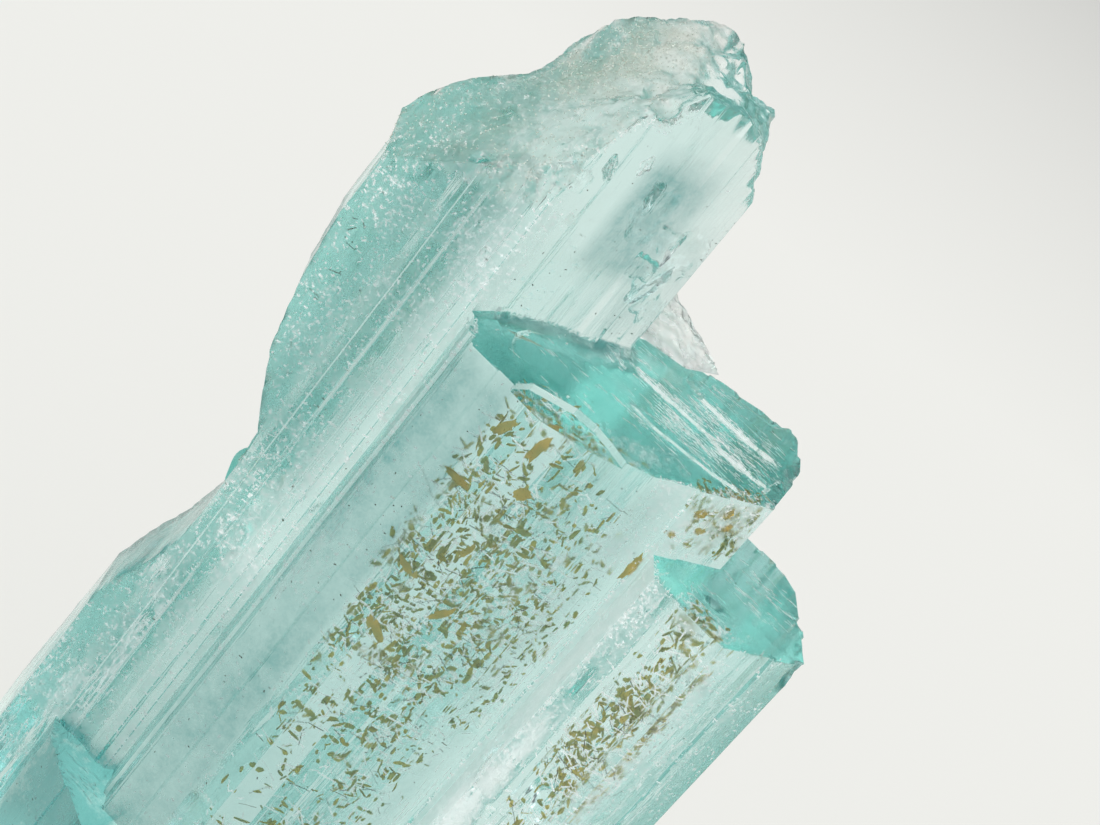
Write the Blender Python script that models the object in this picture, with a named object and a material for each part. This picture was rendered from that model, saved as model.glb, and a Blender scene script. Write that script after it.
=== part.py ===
"""A cluster of aquamarine: four six-sided beryl crystals that grew side by side, and a pale chip of
quartz caught in the corner between two of them.

Sizes are in millimetres up to the point where a mesh is made. +Z runs up the crystals' common
long axis, and the origin is in the middle of the flat base, where the cluster was cut from its rock.
"""

import math

import bmesh
import bpy
import numpy as np
from mathutils import Vector, noise

MM = 0.001
GAP = 0.3  # left between two pieces that touch

# The prism faces. They are numbered anticlockwise as seen from above: 0 front, 1 front right,
# 2 right, 3 back, 4 back left, 5 left. A number in between is a narrow face that cuts off an edge.
FACE_TURN = -13.0  # degrees that the whole cluster's faces are turned about the long axis
FACE_STEP = 60.0
ON_PLANE = 1e-4  # how near a point counts as lying on a face
RIDGE_FLANK = 0.6  # how far a ridge's sloping flank reaches in, as a share of its height
BURIED = 5.0  # how far the columns run on below the base before it is cut flat

# Each crystal has the place of its axis, the distance from that axis to each face, and ridges: low
# growth steps that run up a face, as (face, from, to, height), measured along the face.
MAIN_AXIS = (0.0, 0.0)
MAIN_TOP = 52.0
MAIN_FACES = {0: 10.4, 0.5: 9.1, 0.68: 8.6, 1: 8.2, 1.65: 10.8, 1.9: 11.95, 3: 12.2, 3.5: 8.1, 4: 5.0, 5: 9.7}
MAIN_RIDGES = (
    (0, -5.1, -3.1, 0.22),
    (1, 1.0, 3.4, 0.14),
    (1.9, 3.8, 5.9, 0.22),
    (3, -7.1, -5.8, 0.25),
    (3.5, -8.7, -6.4, 0.3),
    (5, 4.6, 5.5, 0.2),
)

FRONT_AXIS = (12.5, -1.2)
FRONT_TOP = 47.2
FRONT_FACES = {0: 6.5, 1: 4.9, 2: 4.1, 2.5: 5.5, 3: 6.1, 4: 6.0, 5: 6.05}
FRONT_RIDGES = (
    (0, -1.3, 1.2, 0.2),
    (1, -0.9, 1.1, 0.14),
    (2, -0.6, 1.4, 0.2),
    (3, 0.3, 1.6, 0.22),
)

LOW_AXIS = (-8.0, -7.0)
LOW_TOP = 14.8
LOW_FACES = {0: 4.5, 1: 4.3, 2: 4.0, 3: 4.0, 4: 5.0, 5: 4.3, 5.5: 3.1}
LOW_RIDGES = ((5.5, -1.2, 0.6, 0.15),)

TALL_AXIS = (-9.5, 0.0)
TALL_FACES = {0: 5.9, 1: 4.7, 2: 9.05, 3: 7.85, 4: 5.6}
TALL_RIDGES = (
    (0, -2.0, -0.9, 0.2),
    (0, 0.6, 1.4, 0.15),
    (1, 3.6, 5.2, 0.15),
    (4, -5.4, -3.2, 0.3),
    (4, -1.0, 0.3, 0.22),
)
# The tall crystal's left wall is etched into a waist: (height, face number, distance from the axis).
TALL_LEFT_WALL = (
    (-BURIED, 4.94, 7.12), (11.7, 4.93, 7.11), (18.7, 4.89, 6.87), (22.4, 4.86, 6.79), (24.5, 4.82, 6.21),
    (27.0, 4.8, 5.14), (29.5, 4.8, 4.57), (31.5, 4.8, 4.4), (35.5, 4.8, 4.46), (37.9, 4.81, 4.73),
    (39.7, 4.84, 5.9), (42.3, 4.88, 7.25), (46.3, 4.92, 8.22), (50.8, 4.94, 8.69), (54.9, 4.92, 8.58),
    (57.5, 4.96, 9.23), (72.0, 4.96, 9.23),
)

# Heights of the tall crystal's broken top as (x, y, z): its front rim from the low left shoulder to
# the right, its right and back rims from the right corner to the left, then its middle.
BREAK_POINTS = (
    (-17.3, -4.2, 54.9), (-16.1, -4.5, 55.9), (-14.7, -4.9, 56.9), (-13.5, -5.1, 58.1), (-12.2, -5.4, 58.8),
    (-11.2, -5.7, 59.5), (-10.4, -5.9, 60.6), (-9.4, -6.1, 61.8), (-8.5, -5.9, 63.4), (-8.2, -5.5, 65.3),
    (-6.9, -4.1, 67.0), (-5.9, -3.0, 68.1), (-4.6, -1.6, 68.4), (-2.7, -0.4, 68.0), (-1.7, 0.7, 66.5),
    (-1.3, 1.1, 64.9), (-1.3, 3.3, 64.2), (-1.7, 4.8, 65.2), (-1.9, 6.3, 63.5), (-2.3, 6.4, 65.1),
    (-2.6, 6.5, 66.1), (-3.7, 6.7, 66.6), (-4.6, 6.9, 66.8), (-5.0, 7.0, 67.6), (-5.9, 7.2, 68.2),
    (-7.3, 7.6, 69.3), (-8.3, 7.8, 69.3), (-9.4, 8.0, 67.9), (-10.5, 7.1, 67.2), (-11.6, 6.0, 66.9),
    (-12.1, 5.4, 66.7), (-12.9, 4.6, 65.8), (-13.2, 4.3, 64.7), (-13.8, 3.6, 63.5), (-14.0, 3.4, 62.4),
    (-14.5, 2.9, 61.5), (-15.6, 1.6, 60.5), (-16.7, 0.5, 59.7), (-17.2, 0.0, 59.1), (-17.8, -0.7, 58.1),
    (-18.3, -1.3, 57.1), (-18.5, -1.5, 56.3), (-9.6, 0.5, 65.2), (-5.6, 2.4, 67.2), (-13.0, -1.0, 61.0),
)
BREAK_CELL = 0.7
BREAK_SEED = 1795465349  # fixes which way the break's corners are drawn, so each build is the same
BREAK_ROUGHNESS = 0.42  # the hackly part, right of HACKLY_FROM
BREAK_SMOOTHNESS = 0.05  # the smooth curved break on the left
HACKLY_FROM = -12.5
HACKLY_BLEND = 3.0
LID_LOW = (-22.0, -10.0)
LID_HIGH = (3.0, 12.0)
LID_TOP = 76.0

# Shell-shaped chips, each a bite by a stretched ball: (centre, radii, tilt in degrees about Y).
CHIPS = (
    # The tall crystal's front rim, then its pits, its crest, its left shoulder and its back.
    ((-13.2, -4.9, 58.8), (1.25, 0.5, 0.55), -25),
    ((-11.5, -6.0, 59.2), (1.0, 0.8, 1.3), 35),
    ((-10.1, -6.3, 60.3), (0.9, 0.8, 1.7), -12),
    ((-9.1, -6.5, 61.4), (0.8, 0.8, 1.2), 20),
    ((-7.5, -3.9, 66.9), (0.9, 1.1, 0.85), 0),
    ((-8.6, -0.7, 66.1), (1.0, 1.2, 0.75), 35),
    ((-5.0, -2.6, 69.3), (1.4, 1.3, 1.2), 10),
    ((-5.6, 4.0, 69.3), (1.6, 1.9, 1.8), 0),
    ((-18.7, -2.6, 57.2), (0.9, 1.3, 1.1), 20),
    ((-10.6, 9.2, 62.0), (1.3, 1.2, 1.9), 10),
    # The main crystal's right corner and its back.
    ((10.9, 3.3, 52.5), (1.1, 1.3, 0.9), 25),
    ((11.2, 0.6, 52.4), (0.8, 1.2, 0.9), 20),
    ((11.2, 5.4, 52.4), (0.9, 1.5, 0.8), 25),
    ((11.7, -0.3, 50.4), (0.9, 1.0, 1.4), 10),
    ((10.9, 10.6, 51.6), (1.0, 1.1, 1.3), 0),
    ((3.6, 10.5, 52.3), (1.6, 0.9, 0.8), 0),
    # The front crystal's top.
    ((11.4, -4.5, 47.7), (0.9, 0.7, 0.8), 0),
    ((16.6, 0.9, 47.3), (0.7, 0.7, 1.0), 0),
    ((17.4, -3.6, 46.4), (0.7, 0.8, 1.2), 0),
    ((14.2, 5.9, 46.9), (1.1, 0.9, 0.9), 0),
    # The edge of the base.
    ((-16.1, -4.9, 0.3), (1.2, 1.0, 1.0), 0),
    ((0.6, -9.9, -0.2), (1.6, 0.9, 0.9), 0),
    ((17.4, -3.9, 0.4), (1.0, 1.0, 1.2), 0),
    ((9.2, 10.9, 0.1), (1.3, 1.0, 0.9), 0),
    ((-10.8, 8.7, 0.3), (1.4, 1.0, 1.1), 0),
)
CHIP_LUMPS = 0.12  # share of a ball's radius that its surface wavers by

# Low ledges round the main crystal's top, one growth step down: (corners, depth). The outer corners
# lie past the crystal's edge.
LEDGES = (
    (
        (
            (-4.3, -9.4), (-3.6, -12.5), (3.4, -11.0), (2.7, -8.2), (1.6, -7.55), (0.4, -6.95), (-1.0, -6.85),
            (-2.5, -7.55), (-3.6, -8.05),
        ),
        0.42,
    ),
    (((9.7, 0.5), (12.5, -0.4), (12.8, 4.4), (10.3, 3.5)), 0.25),
    (((10.6, 12.5), (1.5, 12.0), (2.7, 7.9), (5.4, 8.9), (8.6, 9.3)), 0.3),
)
# The main crystal's top curves up a little to meet the tall one: (place along the tall crystal's foot,
# direction away from it, height, width).
COLLAR = (
    ((-8.5, -5.9), 1, 0.05, 0.5),
    ((-7.4, -4.65), 1, 0.55, 1.0),
    ((-5.4, -2.5), 1, 0.75, 1.3),
    ((-2.65, 0.45), 1, 0.7, 1.3),
    ((-0.8, 2.45), 1.5, 0.8, 1.2),
    ((-1.25, 3.95), 2, 0.95, 1.0),
    ((-1.55, 4.95), 2, 0.5, 0.6),
)
COLLAR_ROOT = 0.5  # how deep the collar is rooted in both crystals
# Thin plates of later growth on the tops: (x, y, half length, half width, turn in degrees, height).
PLATES = (
    (3.0, 2.6, 4.4, 0.75, -8, 0.16),
    (6.3, 5.6, 3.6, 0.9, -12, 0.2),
    (4.9, -1.8, 3.9, 0.6, 2, 0.13),
    (8.0, 1.4, 2.1, 0.55, -4, 0.15),
)

# The quartz chip's corners, bottom ring first.
CHIP_FOOT = (
    (-1.55, 5.9), (0.0, 6.5), (0.9, 7.3), (1.6, 6.9), (2.4, 6.7), (3.3, 8.2), (4.2, 9.3), (-1.9, 8.0),
)
CHIP_CREST = (
    (-1.6, 6.6, 55.6), (-1.7, 7.9, 55.4), (-0.8, 8.1, 54.6), (0.0, 8.2, 54.1), (0.9, 8.3, 54.0),
    (1.8, 8.4, 53.6), (2.7, 8.6, 53.3), (3.5, 8.8, 52.9), (0.6, 7.2, 53.4), (2.2, 7.3, 53.0),
)
CHIP_LAYER_LENGTH = 1.1
CHIP_LAYER_RELIEF = 0.14


def heading(face):
    """The outward normal of a prism face, seen from above."""
    angle = math.radians(FACE_TURN + FACE_STEP * face)
    return Vector((math.sin(angle), -math.cos(angle)))


def along(face):
    """The direction that runs anticlockwise along a prism face, seen from above."""
    out = heading(face)
    return Vector((-out.y, out.x))


def cut_back(ring, out, limit):
    """A convex ring of points without the part that lies further than limit along out."""
    kept = []
    for here, after in zip(ring, ring[1:] + ring[:1]):
        past, past_after = out.dot(here) - limit, out.dot(after) - limit
        if past <= 0:
            kept.append(here)
        if past * past_after < 0:
            kept.append(here.lerp(after, past / (past - past_after)))
    return kept


def with_ridge(ring, axis, face, reach, start, end, height):
    """The ring with a low step added to one face, its flanks sloping like worn prism faces."""
    out, way = heading(face), along(face)
    limit = reach + out.dot(axis)
    for i, (here, after) in enumerate(zip(ring, ring[1:] + ring[:1])):
        on_face = abs(out.dot(here) - limit) < ON_PLANE and abs(out.dot(after) - limit) < ON_PLANE
        if on_face and way.dot(here - axis) < start < end < way.dot(after - axis):
            foot = axis + out * reach
            flank = RIDGE_FLANK * height
            profile = ((start, 0.0), (start + flank, height), (end - flank, height), (end, 0.0))
            return ring[: i + 1] + [foot + way * s + out * h for s, h in profile] + ring[i + 1 :]
    raise ValueError(f"the ridge from {start} to {end} doesn't fit on face {face}")


def outline(axis, faces, ridges):
    """A crystal's cross-section: a wide square cut back along each face, then its ridges."""
    axis = Vector(axis)
    ring = [Vector(c) for c in ((-60, -60), (60, -60), (60, 60), (-60, 60))]
    for face, reach in faces.items():
        out = heading(face)
        ring = cut_back(ring, out, reach + out.dot(axis))
    for face, start, end, height in ridges:
        ring = with_ridge(ring, axis, face, faces[face], start, end, height)
    return ring


def stack(name, levels):
    """A closed body through rings of points, given as (height, ring) from the bottom up."""
    bm = bmesh.new()
    rings = [[bm.verts.new((p.x * MM, p.y * MM, z * MM)) for p in ring] for z, ring in levels]
    for low, high in zip(rings, rings[1:]):
        count = len(low)
        for i in range(count):
            j = (i + 1) % count
            bm.faces.new((low[i], low[j], high[j], high[i]))
    bm.faces.new(list(reversed(rings[0])))
    bm.faces.new(rings[-1])
    return as_object(name, bm)


def as_object(name, bm):
    """Puts a bmesh into the scene as an object, with all its faces pointing out."""
    bmesh.ops.recalc_face_normals(bm, faces=bm.faces)
    mesh = bpy.data.meshes.new(name)
    bm.to_mesh(mesh)
    bm.free()
    obj = bpy.data.objects.new(name, mesh)
    bpy.context.scene.collection.objects.link(obj)
    return obj


def crystal(name, axis, faces, ridges, top):
    """A straight prism with a flat top."""
    ring = outline(axis, faces, ridges)
    return stack(name, ((-BURIED, ring), (top, ring)))


def combine(target, tool, operation):
    """Adds a Boolean to target, and makes tool a cutter that isn't part of the model."""
    step = target.modifiers.new(tool.name, "BOOLEAN")
    step.operation = operation
    step.solver = "EXACT"
    step.object = tool
    tool.hide_render = True
    tool.display_type = "WIRE"


def thin_plate(points):
    """A smooth height function of (x, y) that passes through all the points."""
    known = np.array(points)
    count = len(known)

    def bend(distance_squared):
        return distance_squared * np.log(distance_squared + 1e-9)

    spread = ((known[:, None, :2] - known[None, :, :2]) ** 2).sum(2)
    system = np.zeros((count + 3, count + 3))
    system[:count, :count] = bend(spread)
    system[:count, count] = 1
    system[:count, count + 1 :] = known[:, :2]
    system[count:, :count] = system[:count, count:].T
    weights = np.linalg.solve(system, np.append(known[:, 2], (0, 0, 0)))

    def height(x, y):
        near = ((known[:, :2] - (x, y)) ** 2).sum(1)
        return float(bend(near) @ weights[:count] + weights[count:] @ (1, x, y))

    return height


def broken_top_lid():
    """The block that takes off the tall crystal's top, with the break as its underside."""
    noise.seed_set(BREAK_SEED)
    smooth_height = thin_plate(BREAK_POINTS)
    columns = round((LID_HIGH[0] - LID_LOW[0]) / BREAK_CELL)
    rows = round((LID_HIGH[1] - LID_LOW[1]) / BREAK_CELL)
    bm = bmesh.new()
    under, over = {}, {}
    for i in range(columns + 1):
        for j in range(rows + 1):
            x, y = LID_LOW[0] + i * BREAK_CELL, LID_LOW[1] + j * BREAK_CELL
            shift = noise.noise_vector(Vector((x, y, 3.1))) * 0.3 * BREAK_CELL
            x, y = x + shift.x, y + shift.y
            hackly = min(1.0, max(0.0, (x - HACKLY_FROM) / HACKLY_BLEND))
            relief = BREAK_SMOOTHNESS + (BREAK_ROUGHNESS - BREAK_SMOOTHNESS) * hackly
            z = smooth_height(x, y) + relief * 2 * noise.noise(Vector((x * 0.55, y * 0.55, 8.4)))
            under[i, j] = bm.verts.new((x * MM, y * MM, z * MM))
            if i in (0, columns) or j in (0, rows):
                over[i, j] = bm.verts.new((x * MM, y * MM, LID_TOP * MM))
    for i in range(columns):
        for j in range(rows):
            a, b, c, d = under[i, j], under[i + 1, j], under[i + 1, j + 1], under[i, j + 1]
            split = ((a, b, c), (a, c, d)) if (i + j) % 2 else ((a, b, d), (b, c, d))
            for corners in split:
                bm.faces.new(corners)
    rim = [(i, 0) for i in range(columns)] + [(columns, j) for j in range(rows)]
    rim += [(i, rows) for i in range(columns, 0, -1)] + [(0, j) for j in range(rows, 0, -1)]
    for here, after in zip(rim, rim[1:] + rim[:1]):
        bm.faces.new((under[here], under[after], over[after], over[here]))
    bm.faces.new([over[place] for place in rim])
    return as_object("lid", bm)


def tall_crystal():
    """The tall crystal, with its etched left wall and its broken top."""
    levels = [
        (z, outline(TALL_AXIS, {**TALL_FACES, wall: reach}, TALL_RIDGES)) for z, wall, reach in TALL_LEFT_WALL
    ]
    body = stack("tall_crystal", levels)
    combine(body, broken_top_lid(), "DIFFERENCE")
    return body


def chip_cutter(index, centre, radii, tilt):
    """A lumpy stretched ball that bites one shell-shaped chip out of the cluster."""
    bm = bmesh.new()
    bmesh.ops.create_icosphere(bm, subdivisions=2, radius=1.0)
    turn_cos, turn_sin = math.cos(math.radians(tilt)), math.sin(math.radians(tilt))
    for vert in bm.verts:
        lump = 1 + CHIP_LUMPS * noise.noise(vert.co * 1.7 + Vector((index * 5.3, 0, 0)))
        x, y, z = (vert.co[k] * radii[k] * lump for k in range(3))
        x, z = x * turn_cos + z * turn_sin, z * turn_cos - x * turn_sin
        vert.co = (Vector(centre) + Vector((x, y, z))) * MM
    return as_object(f"chip_cutter_{index}", bm)


def box_between(name, corners, low, high):
    """A closed block over four corners, from one height to another."""
    return stack(name, ((low, corners), (high, corners)))


def ledge_cutter(index, corners, depth):
    """The strip of the main crystal's top that lies one growth step lower."""
    corners = [Vector(corner) for corner in corners]
    return box_between(f"ledge_cutter_{index}", corners, MAIN_TOP - depth, MAIN_TOP + 1)


def growth_plate(index, x, y, half_length, half_width, turn, height):
    """A low lens-shaped plate on the main crystal's top, rooted inside it."""
    way = Vector((math.cos(math.radians(turn)), math.sin(math.radians(turn))))
    side = Vector((-way.y, way.x))
    spots = ((-1, 0), (-0.55, -1), (0.5, -0.85), (1, -0.1), (0.45, 0.9), (-0.6, 0.8))
    corners = [Vector((x, y)) + way * (half_length * u) + side * (half_width * v) for u, v in spots]
    return box_between(f"growth_plate_{index}", corners, MAIN_TOP - 1, MAIN_TOP + height)


def collar():
    """The low curved rise between the tall crystal's foot and the main crystal's top."""
    bm = bmesh.new()
    rings = []
    for place, face, height, width in COLLAR:
        foot, away = Vector(place), heading(face)
        inside, outside, middle = foot - away * COLLAR_ROOT, foot + away * width, foot + away * (width * 0.35)
        profile = (
            (inside, MAIN_TOP - COLLAR_ROOT),
            (outside, MAIN_TOP - COLLAR_ROOT),
            (outside, MAIN_TOP - 0.02),
            (middle, MAIN_TOP + height * 0.38),
            (foot, MAIN_TOP + height),
            (inside, MAIN_TOP + height),
        )
        rings.append([bm.verts.new((p.x * MM, p.y * MM, z * MM)) for p, z in profile])
    for here, after in zip(rings, rings[1:]):
        count = len(here)
        for i in range(count):
            j = (i + 1) % count
            bm.faces.new((here[i], after[i], after[j], here[j]))
    bm.faces.new(rings[0])
    bm.faces.new(list(reversed(rings[-1])))
    return as_object("collar", bm)


def base_cutter():
    """Everything below the flat base."""
    corners = [Vector(c) for c in ((-40, -40), (40, -40), (40, 40), (-40, 40))]
    return box_between("base_cutter", corners, -BURIED - 5, 0)


def aquamarine_cluster():
    """The four crystals as one solid, with their chips, ledges and flat base."""
    body = crystal("aquamarine_cluster", MAIN_AXIS, MAIN_FACES, MAIN_RIDGES, MAIN_TOP)
    for index, ledge in enumerate(LEDGES):
        combine(body, ledge_cutter(index, *ledge), "DIFFERENCE")
    for index, plate in enumerate(PLATES):
        combine(body, growth_plate(index, *plate), "UNION")
    combine(body, tall_crystal(), "UNION")
    combine(body, collar(), "UNION")
    combine(body, crystal("front_crystal", FRONT_AXIS, FRONT_FACES, FRONT_RIDGES, FRONT_TOP), "UNION")
    combine(body, crystal("low_crystal", LOW_AXIS, LOW_FACES, LOW_RIDGES, LOW_TOP), "UNION")
    for index, chip in enumerate(CHIPS):
        combine(body, chip_cutter(index, *chip), "DIFFERENCE")
    combine(body, base_cutter(), "DIFFERENCE")
    return body


def quartz_chip():
    """The pale chip: a hull round its corners, its sides broken in thin layers."""
    bm = bmesh.new()
    for x, y in CHIP_FOOT:
        bm.verts.new((x, y, MAIN_TOP + GAP))
    for corner in CHIP_CREST:
        bm.verts.new(corner)
    hull = bmesh.ops.convex_hull(bm, input=bm.verts)
    spare = {v for v in hull["geom_interior"] + hull["geom_unused"] if isinstance(v, bmesh.types.BMVert)}
    bmesh.ops.delete(bm, geom=list(spare), context="VERTS")
    bmesh.ops.subdivide_edges(bm, edges=bm.edges, cuts=2, use_grid_fill=True)
    bmesh.ops.triangulate(bm, faces=bm.faces)
    bm.normal_update()
    floor = MAIN_TOP + GAP
    moves = {}
    for vert in bm.verts:
        layer = noise.noise(Vector((0, vert.co.y * 0.5, vert.co.z / CHIP_LAYER_LENGTH * 2)))
        lump = noise.noise(vert.co * 0.9)
        free = min(1.0, (vert.co.z - floor) / 0.4)
        moves[vert] = vert.normal * (CHIP_LAYER_RELIEF * (layer + lump) * free)
    for vert, move in moves.items():
        vert.co = (vert.co + move) * MM
    return as_object("quartz_chip", bm)


def finish_material(obj, colour, roughness, clear):
    """Gives an object a plain see-through mineral finish."""
    material = bpy.data.materials.new(obj.name)
    material.use_nodes = True
    shader = material.node_tree.nodes["Principled BSDF"]
    shader.inputs["Base Color"].default_value = (*colour, 1.0)
    shader.inputs["Roughness"].default_value = roughness
    shader.inputs["Metallic"].default_value = 0.0
    shader.inputs["Transmission Weight"].default_value = clear
    obj.data.materials.append(material)


def main():
    for old in list(bpy.data.objects):
        bpy.data.objects.remove(old)
    finish_material(aquamarine_cluster(), (0.36, 0.72, 0.68), 0.08, 0.7)
    finish_material(quartz_chip(), (0.78, 0.8, 0.74), 0.3, 0.4)


main()
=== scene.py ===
"""Dresses the aquamarine cluster: clear sea-green crystals with frosted and striated faces, mica flakes,
needles, bubbles and white veils inside them, and a chip of layered quartz, on a pale floor.

+Z runs up the crystals' long axis. Lengths are in millimetres until a mesh is made, unless a comment or
a setting says metres.
"""

import math
import random
from functools import partial

import bmesh
import bpy
from bpy.props import FloatProperty, FloatVectorProperty, IntProperty, PointerProperty
from mathutils import Matrix, Vector, noise
from mathutils.bvhtree import BVHTree


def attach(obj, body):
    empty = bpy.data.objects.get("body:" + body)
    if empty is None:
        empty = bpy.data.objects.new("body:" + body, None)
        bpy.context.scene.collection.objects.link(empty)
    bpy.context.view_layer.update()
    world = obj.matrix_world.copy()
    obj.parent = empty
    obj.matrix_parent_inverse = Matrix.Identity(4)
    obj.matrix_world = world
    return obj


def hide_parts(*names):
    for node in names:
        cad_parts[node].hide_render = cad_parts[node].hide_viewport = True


bl_info = {
    "name": "Aquamarine cluster",
    "version": (1, 0, 0),
    "blender": (4, 5, 0),
    "location": "3D View > Sidebar > Aquamarine",
    "description": "Builds a cluster of clear aquamarine crystals with what is inside them",
    "category": "Add Mesh",
}

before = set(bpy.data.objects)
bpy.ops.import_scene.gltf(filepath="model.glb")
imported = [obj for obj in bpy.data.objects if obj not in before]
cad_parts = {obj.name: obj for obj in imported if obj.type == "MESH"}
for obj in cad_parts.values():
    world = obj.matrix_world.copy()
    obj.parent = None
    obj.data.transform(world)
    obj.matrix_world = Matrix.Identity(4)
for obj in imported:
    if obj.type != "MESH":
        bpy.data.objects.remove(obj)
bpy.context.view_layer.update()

MM = 0.001
SHARD_SEED = 7  # without it, the broken end's splinters would lean another way at each run
CLUSTER = "aquamarine_cluster"
QUARTZ = "quartz_chip"

# How each kind of surface is told apart: how far its normal points up, how high it is, how large.
UPRIGHT = 0.03
FLAT = 0.985
BASE_TO = 0.05
BREAK_FROM = 52.8  # above this height everything that isn't a prism face is broken
SLOPE_TO = -9.0  # left of here the broken end is a smooth slope
LEAST_PRISM = 2e-7  # in square metres; a smaller upright face is part of the break
RIGHT_FACE = Vector((0.73, -0.68, 0.0))  # the tall crystal's clear face points this way
SAME_FACE = 0.985
# How finely the faces are cut, and the tops' own levels and direction.
ACROSS_PITCH = 0.34
UP_PITCH = 1.15
TOP_PITCH = 0.4
BROKEN_PITCHES = (0.9, 0.45, 0.24)
RIM = 0.07  # how wide the bright worn line along an edge is
MAIN_TOP = 52.0
FLAT_TOPS = (MAIN_TOP, 47.2, 14.8)
STREAK_TURN = math.radians(-8)  # the tops' own streaks, turned from +X
STREAK_WAY = Vector((math.cos(STREAK_TURN), math.sin(STREAK_TURN), 0))
STREAK_SIDE = Vector((-STREAK_WAY.y, STREAK_WAY.x, 0))
SHARP = math.radians(24)  # edges that turn more than this stay sharp
CHIP_SHARP = math.radians(35)
# In metres: vertices nearer than this are one, before and after the faces are cut.
SAME_PLACE = 2e-6
SLIVER = 8e-6
# How far apart the points are of the sheets that pieces are strewn over.
ROW_PITCH = 0.6
COLUMN_PITCH = 0.4
VEIL_PITCH = (0.45, 0.7)
# Half the thickness of the air in a crack and in a break.
CRACK_GAP = 0.02
BREAK_GAP = 0.03
FLAKE_CORNERS = 18
FLAKE_THICKNESS = 0.06
VECTORS = {"data_type": "FLOAT_VECTOR"}

# What each vertex of the crystals holds, and how frosted a worn edge and a clear face are.
FINISHES = ("frost", "broken", "stained", "deep", "peppered", "snowy")
WORN_FROST = 0.28
CLEAR_FROST = 0.06
ON_SLOPE = (-20, -7.6, 1.6)  # where the tall crystal's end slopes: x from, x to, softness
CLEAR = (0.985, 1.0, 0.995)
BEIGE = (0.9, 0.84, 0.76)

# Frosted places on the prism faces: (x from, x to, y to, z from, z to, strength, softness).
FROSTED = (
    (-12.1, -8.0, -4.6, 44.5, 60.5, 1.0, 0.4),
    (-17.4, -8.6, -3.0, 12.0, 60.0, 0.72, 1.0),
    (-15.0, -8.0, -4.4, 26.0, 44.0, 0.6, 2.0),
    (-7.0, -4.4, -7.2, 2.0, 51.0, 0.26, 0.6),
    (-12.6, -9.4, -4.6, 30.0, 36.5, 1.0, 1.0),
    (-15.5, -10.5, -4.0, 14.0, 27.0, 0.7, 2.0),
    (6.9, 9.0, -3.6, 6.0, 47.3, 1.25, 0.4),
    (12.4, 17.2, -3.0, 5.0, 47.3, 0.45, 1.0),
    (-7.4, -3.8, -8.4, 4.0, 52.0, 0.42, 1.0),
    (5.0, 11.4, 1.6, 46.4, 52.0, 0.85, 0.6),
)

# Deeper coloured places on the surface: (x from, x to, y to, z from, z to, strength, softness).
DEEP_ZONES = (
    (-7.6, -4.2, -7.4, 0.0, 51.0, 0.78, 0.9),
    (-14.0, -6.4, -5.4, 0.0, 15.4, 1.2, 0.5),
    (-14.0, -5.0, 4.0, 0.0, 0.3, 0.6, 0.5),
    (-13.0, -6.4, -4.6, 15.0, 28.0, 0.5, 2.0),
    (-5.6, -3.0, 1.8, 57.5, 63.5, 0.8, 0.8),
    (-16.6, -9.0, -4.0, 4.0, 26.0, 0.3, 2.0),
    (-14.6, -10.4, -3.6, 38.0, 58.0, 0.52, 1.5),
    (-4.0, 5.4, -4.0, 2.0, 50.0, 0.32, 1.0),
    (-2.6, 0.0, 5.0, 54.0, 60.0, 0.4, 0.8),
)

# Flake zones, as rows up the crystal: (z, left end, right end, share of flakes across the row).
MAIN_ZONE = (
    (3.0, (-2.0, -7.7), (4.3, -4.4), (0.2, 0.3, 0.3, 0.2)),
    (12.0, (-2.0, -7.8), (4.3, -4.4), (0.2, 0.3, 0.3, 0.2)),
    (20.0, (-2.3, -7.8), (4.1, -4.6), (0.3, 0.4, 0.35, 0.2)),
    (25.0, (-2.7, -7.7), (4.1, -4.5), (0.35, 0.45, 0.45, 0.25)),
    (30.0, (-3.0, -7.6), (4.4, -4.3), (0.5, 0.75, 0.6, 0.4)),
    (34.0, (-3.4, -7.5), (5.0, -3.6), (0.9, 1.1, 0.9, 0.7)),
    (37.8, (-3.7, -7.4), (5.3, -3.2), (1.1, 1.3, 1.1, 0.75)),
    (41.0, (-4.0, -7.3), (5.4, -3.1), (1.0, 1.3, 1.0, 0.5)),
    (44.5, (-4.0, -7.3), (5.2, -3.3), (0.9, 1.2, 0.6, 0.3)),
    (48.0, (-4.1, -7.3), (3.4, -5.2), (0.8, 1.0, 0.5, 0.2)),
    (50.6, (-4.0, -7.3), (0.8, -6.6), (0.3, 0.6, 0.5, 0.2)),
)
FRONT_ZONE = (
    (3.0, (10.4, -5.7), (12.9, -5.6), (0.3, 0.4, 0.3)),
    (14.0, (10.4, -5.8), (12.8, -5.8), (0.4, 0.5, 0.4)),
    (24.0, (10.4, -5.8), (12.8, -5.8), (0.5, 0.7, 0.5)),
    (31.5, (10.3, -5.8), (12.8, -5.9), (0.6, 0.9, 0.6)),
    (35.2, (10.2, -5.7), (12.9, -5.7), (0.8, 1.1, 0.8)),
    (39.6, (10.4, -5.8), (12.9, -5.7), (0.9, 1.3, 0.9)),
    (43.0, (10.2, -5.8), (12.8, -5.9), (0.9, 1.2, 0.9)),
    (46.4, (10.2, -5.6), (12.9, -5.6), (0.6, 1.0, 0.7)),
)
RIGHT_ZONE = (
    (47.6, (7.6, -2.8), (10.4, 1.0), (0.5, 0.8, 0.6)),
    (51.2, (6.4, -3.6), (10.0, 0.5), (0.5, 0.9, 0.8)),
)
LEFT_ZONE = (
    (36.0, (-14.2, -4.3), (-13.0, -4.8), (0.3, 0.2)),
    (44.0, (-15.6, -4.0), (-14.0, -4.4), (0.8, 0.4)),
    (50.0, (-16.6, -3.8), (-15.0, -4.2), (1.0, 0.5)),
    (53.5, (-16.8, -3.7), (-15.0, -4.2), (0.6, 0.3)),
)
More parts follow.
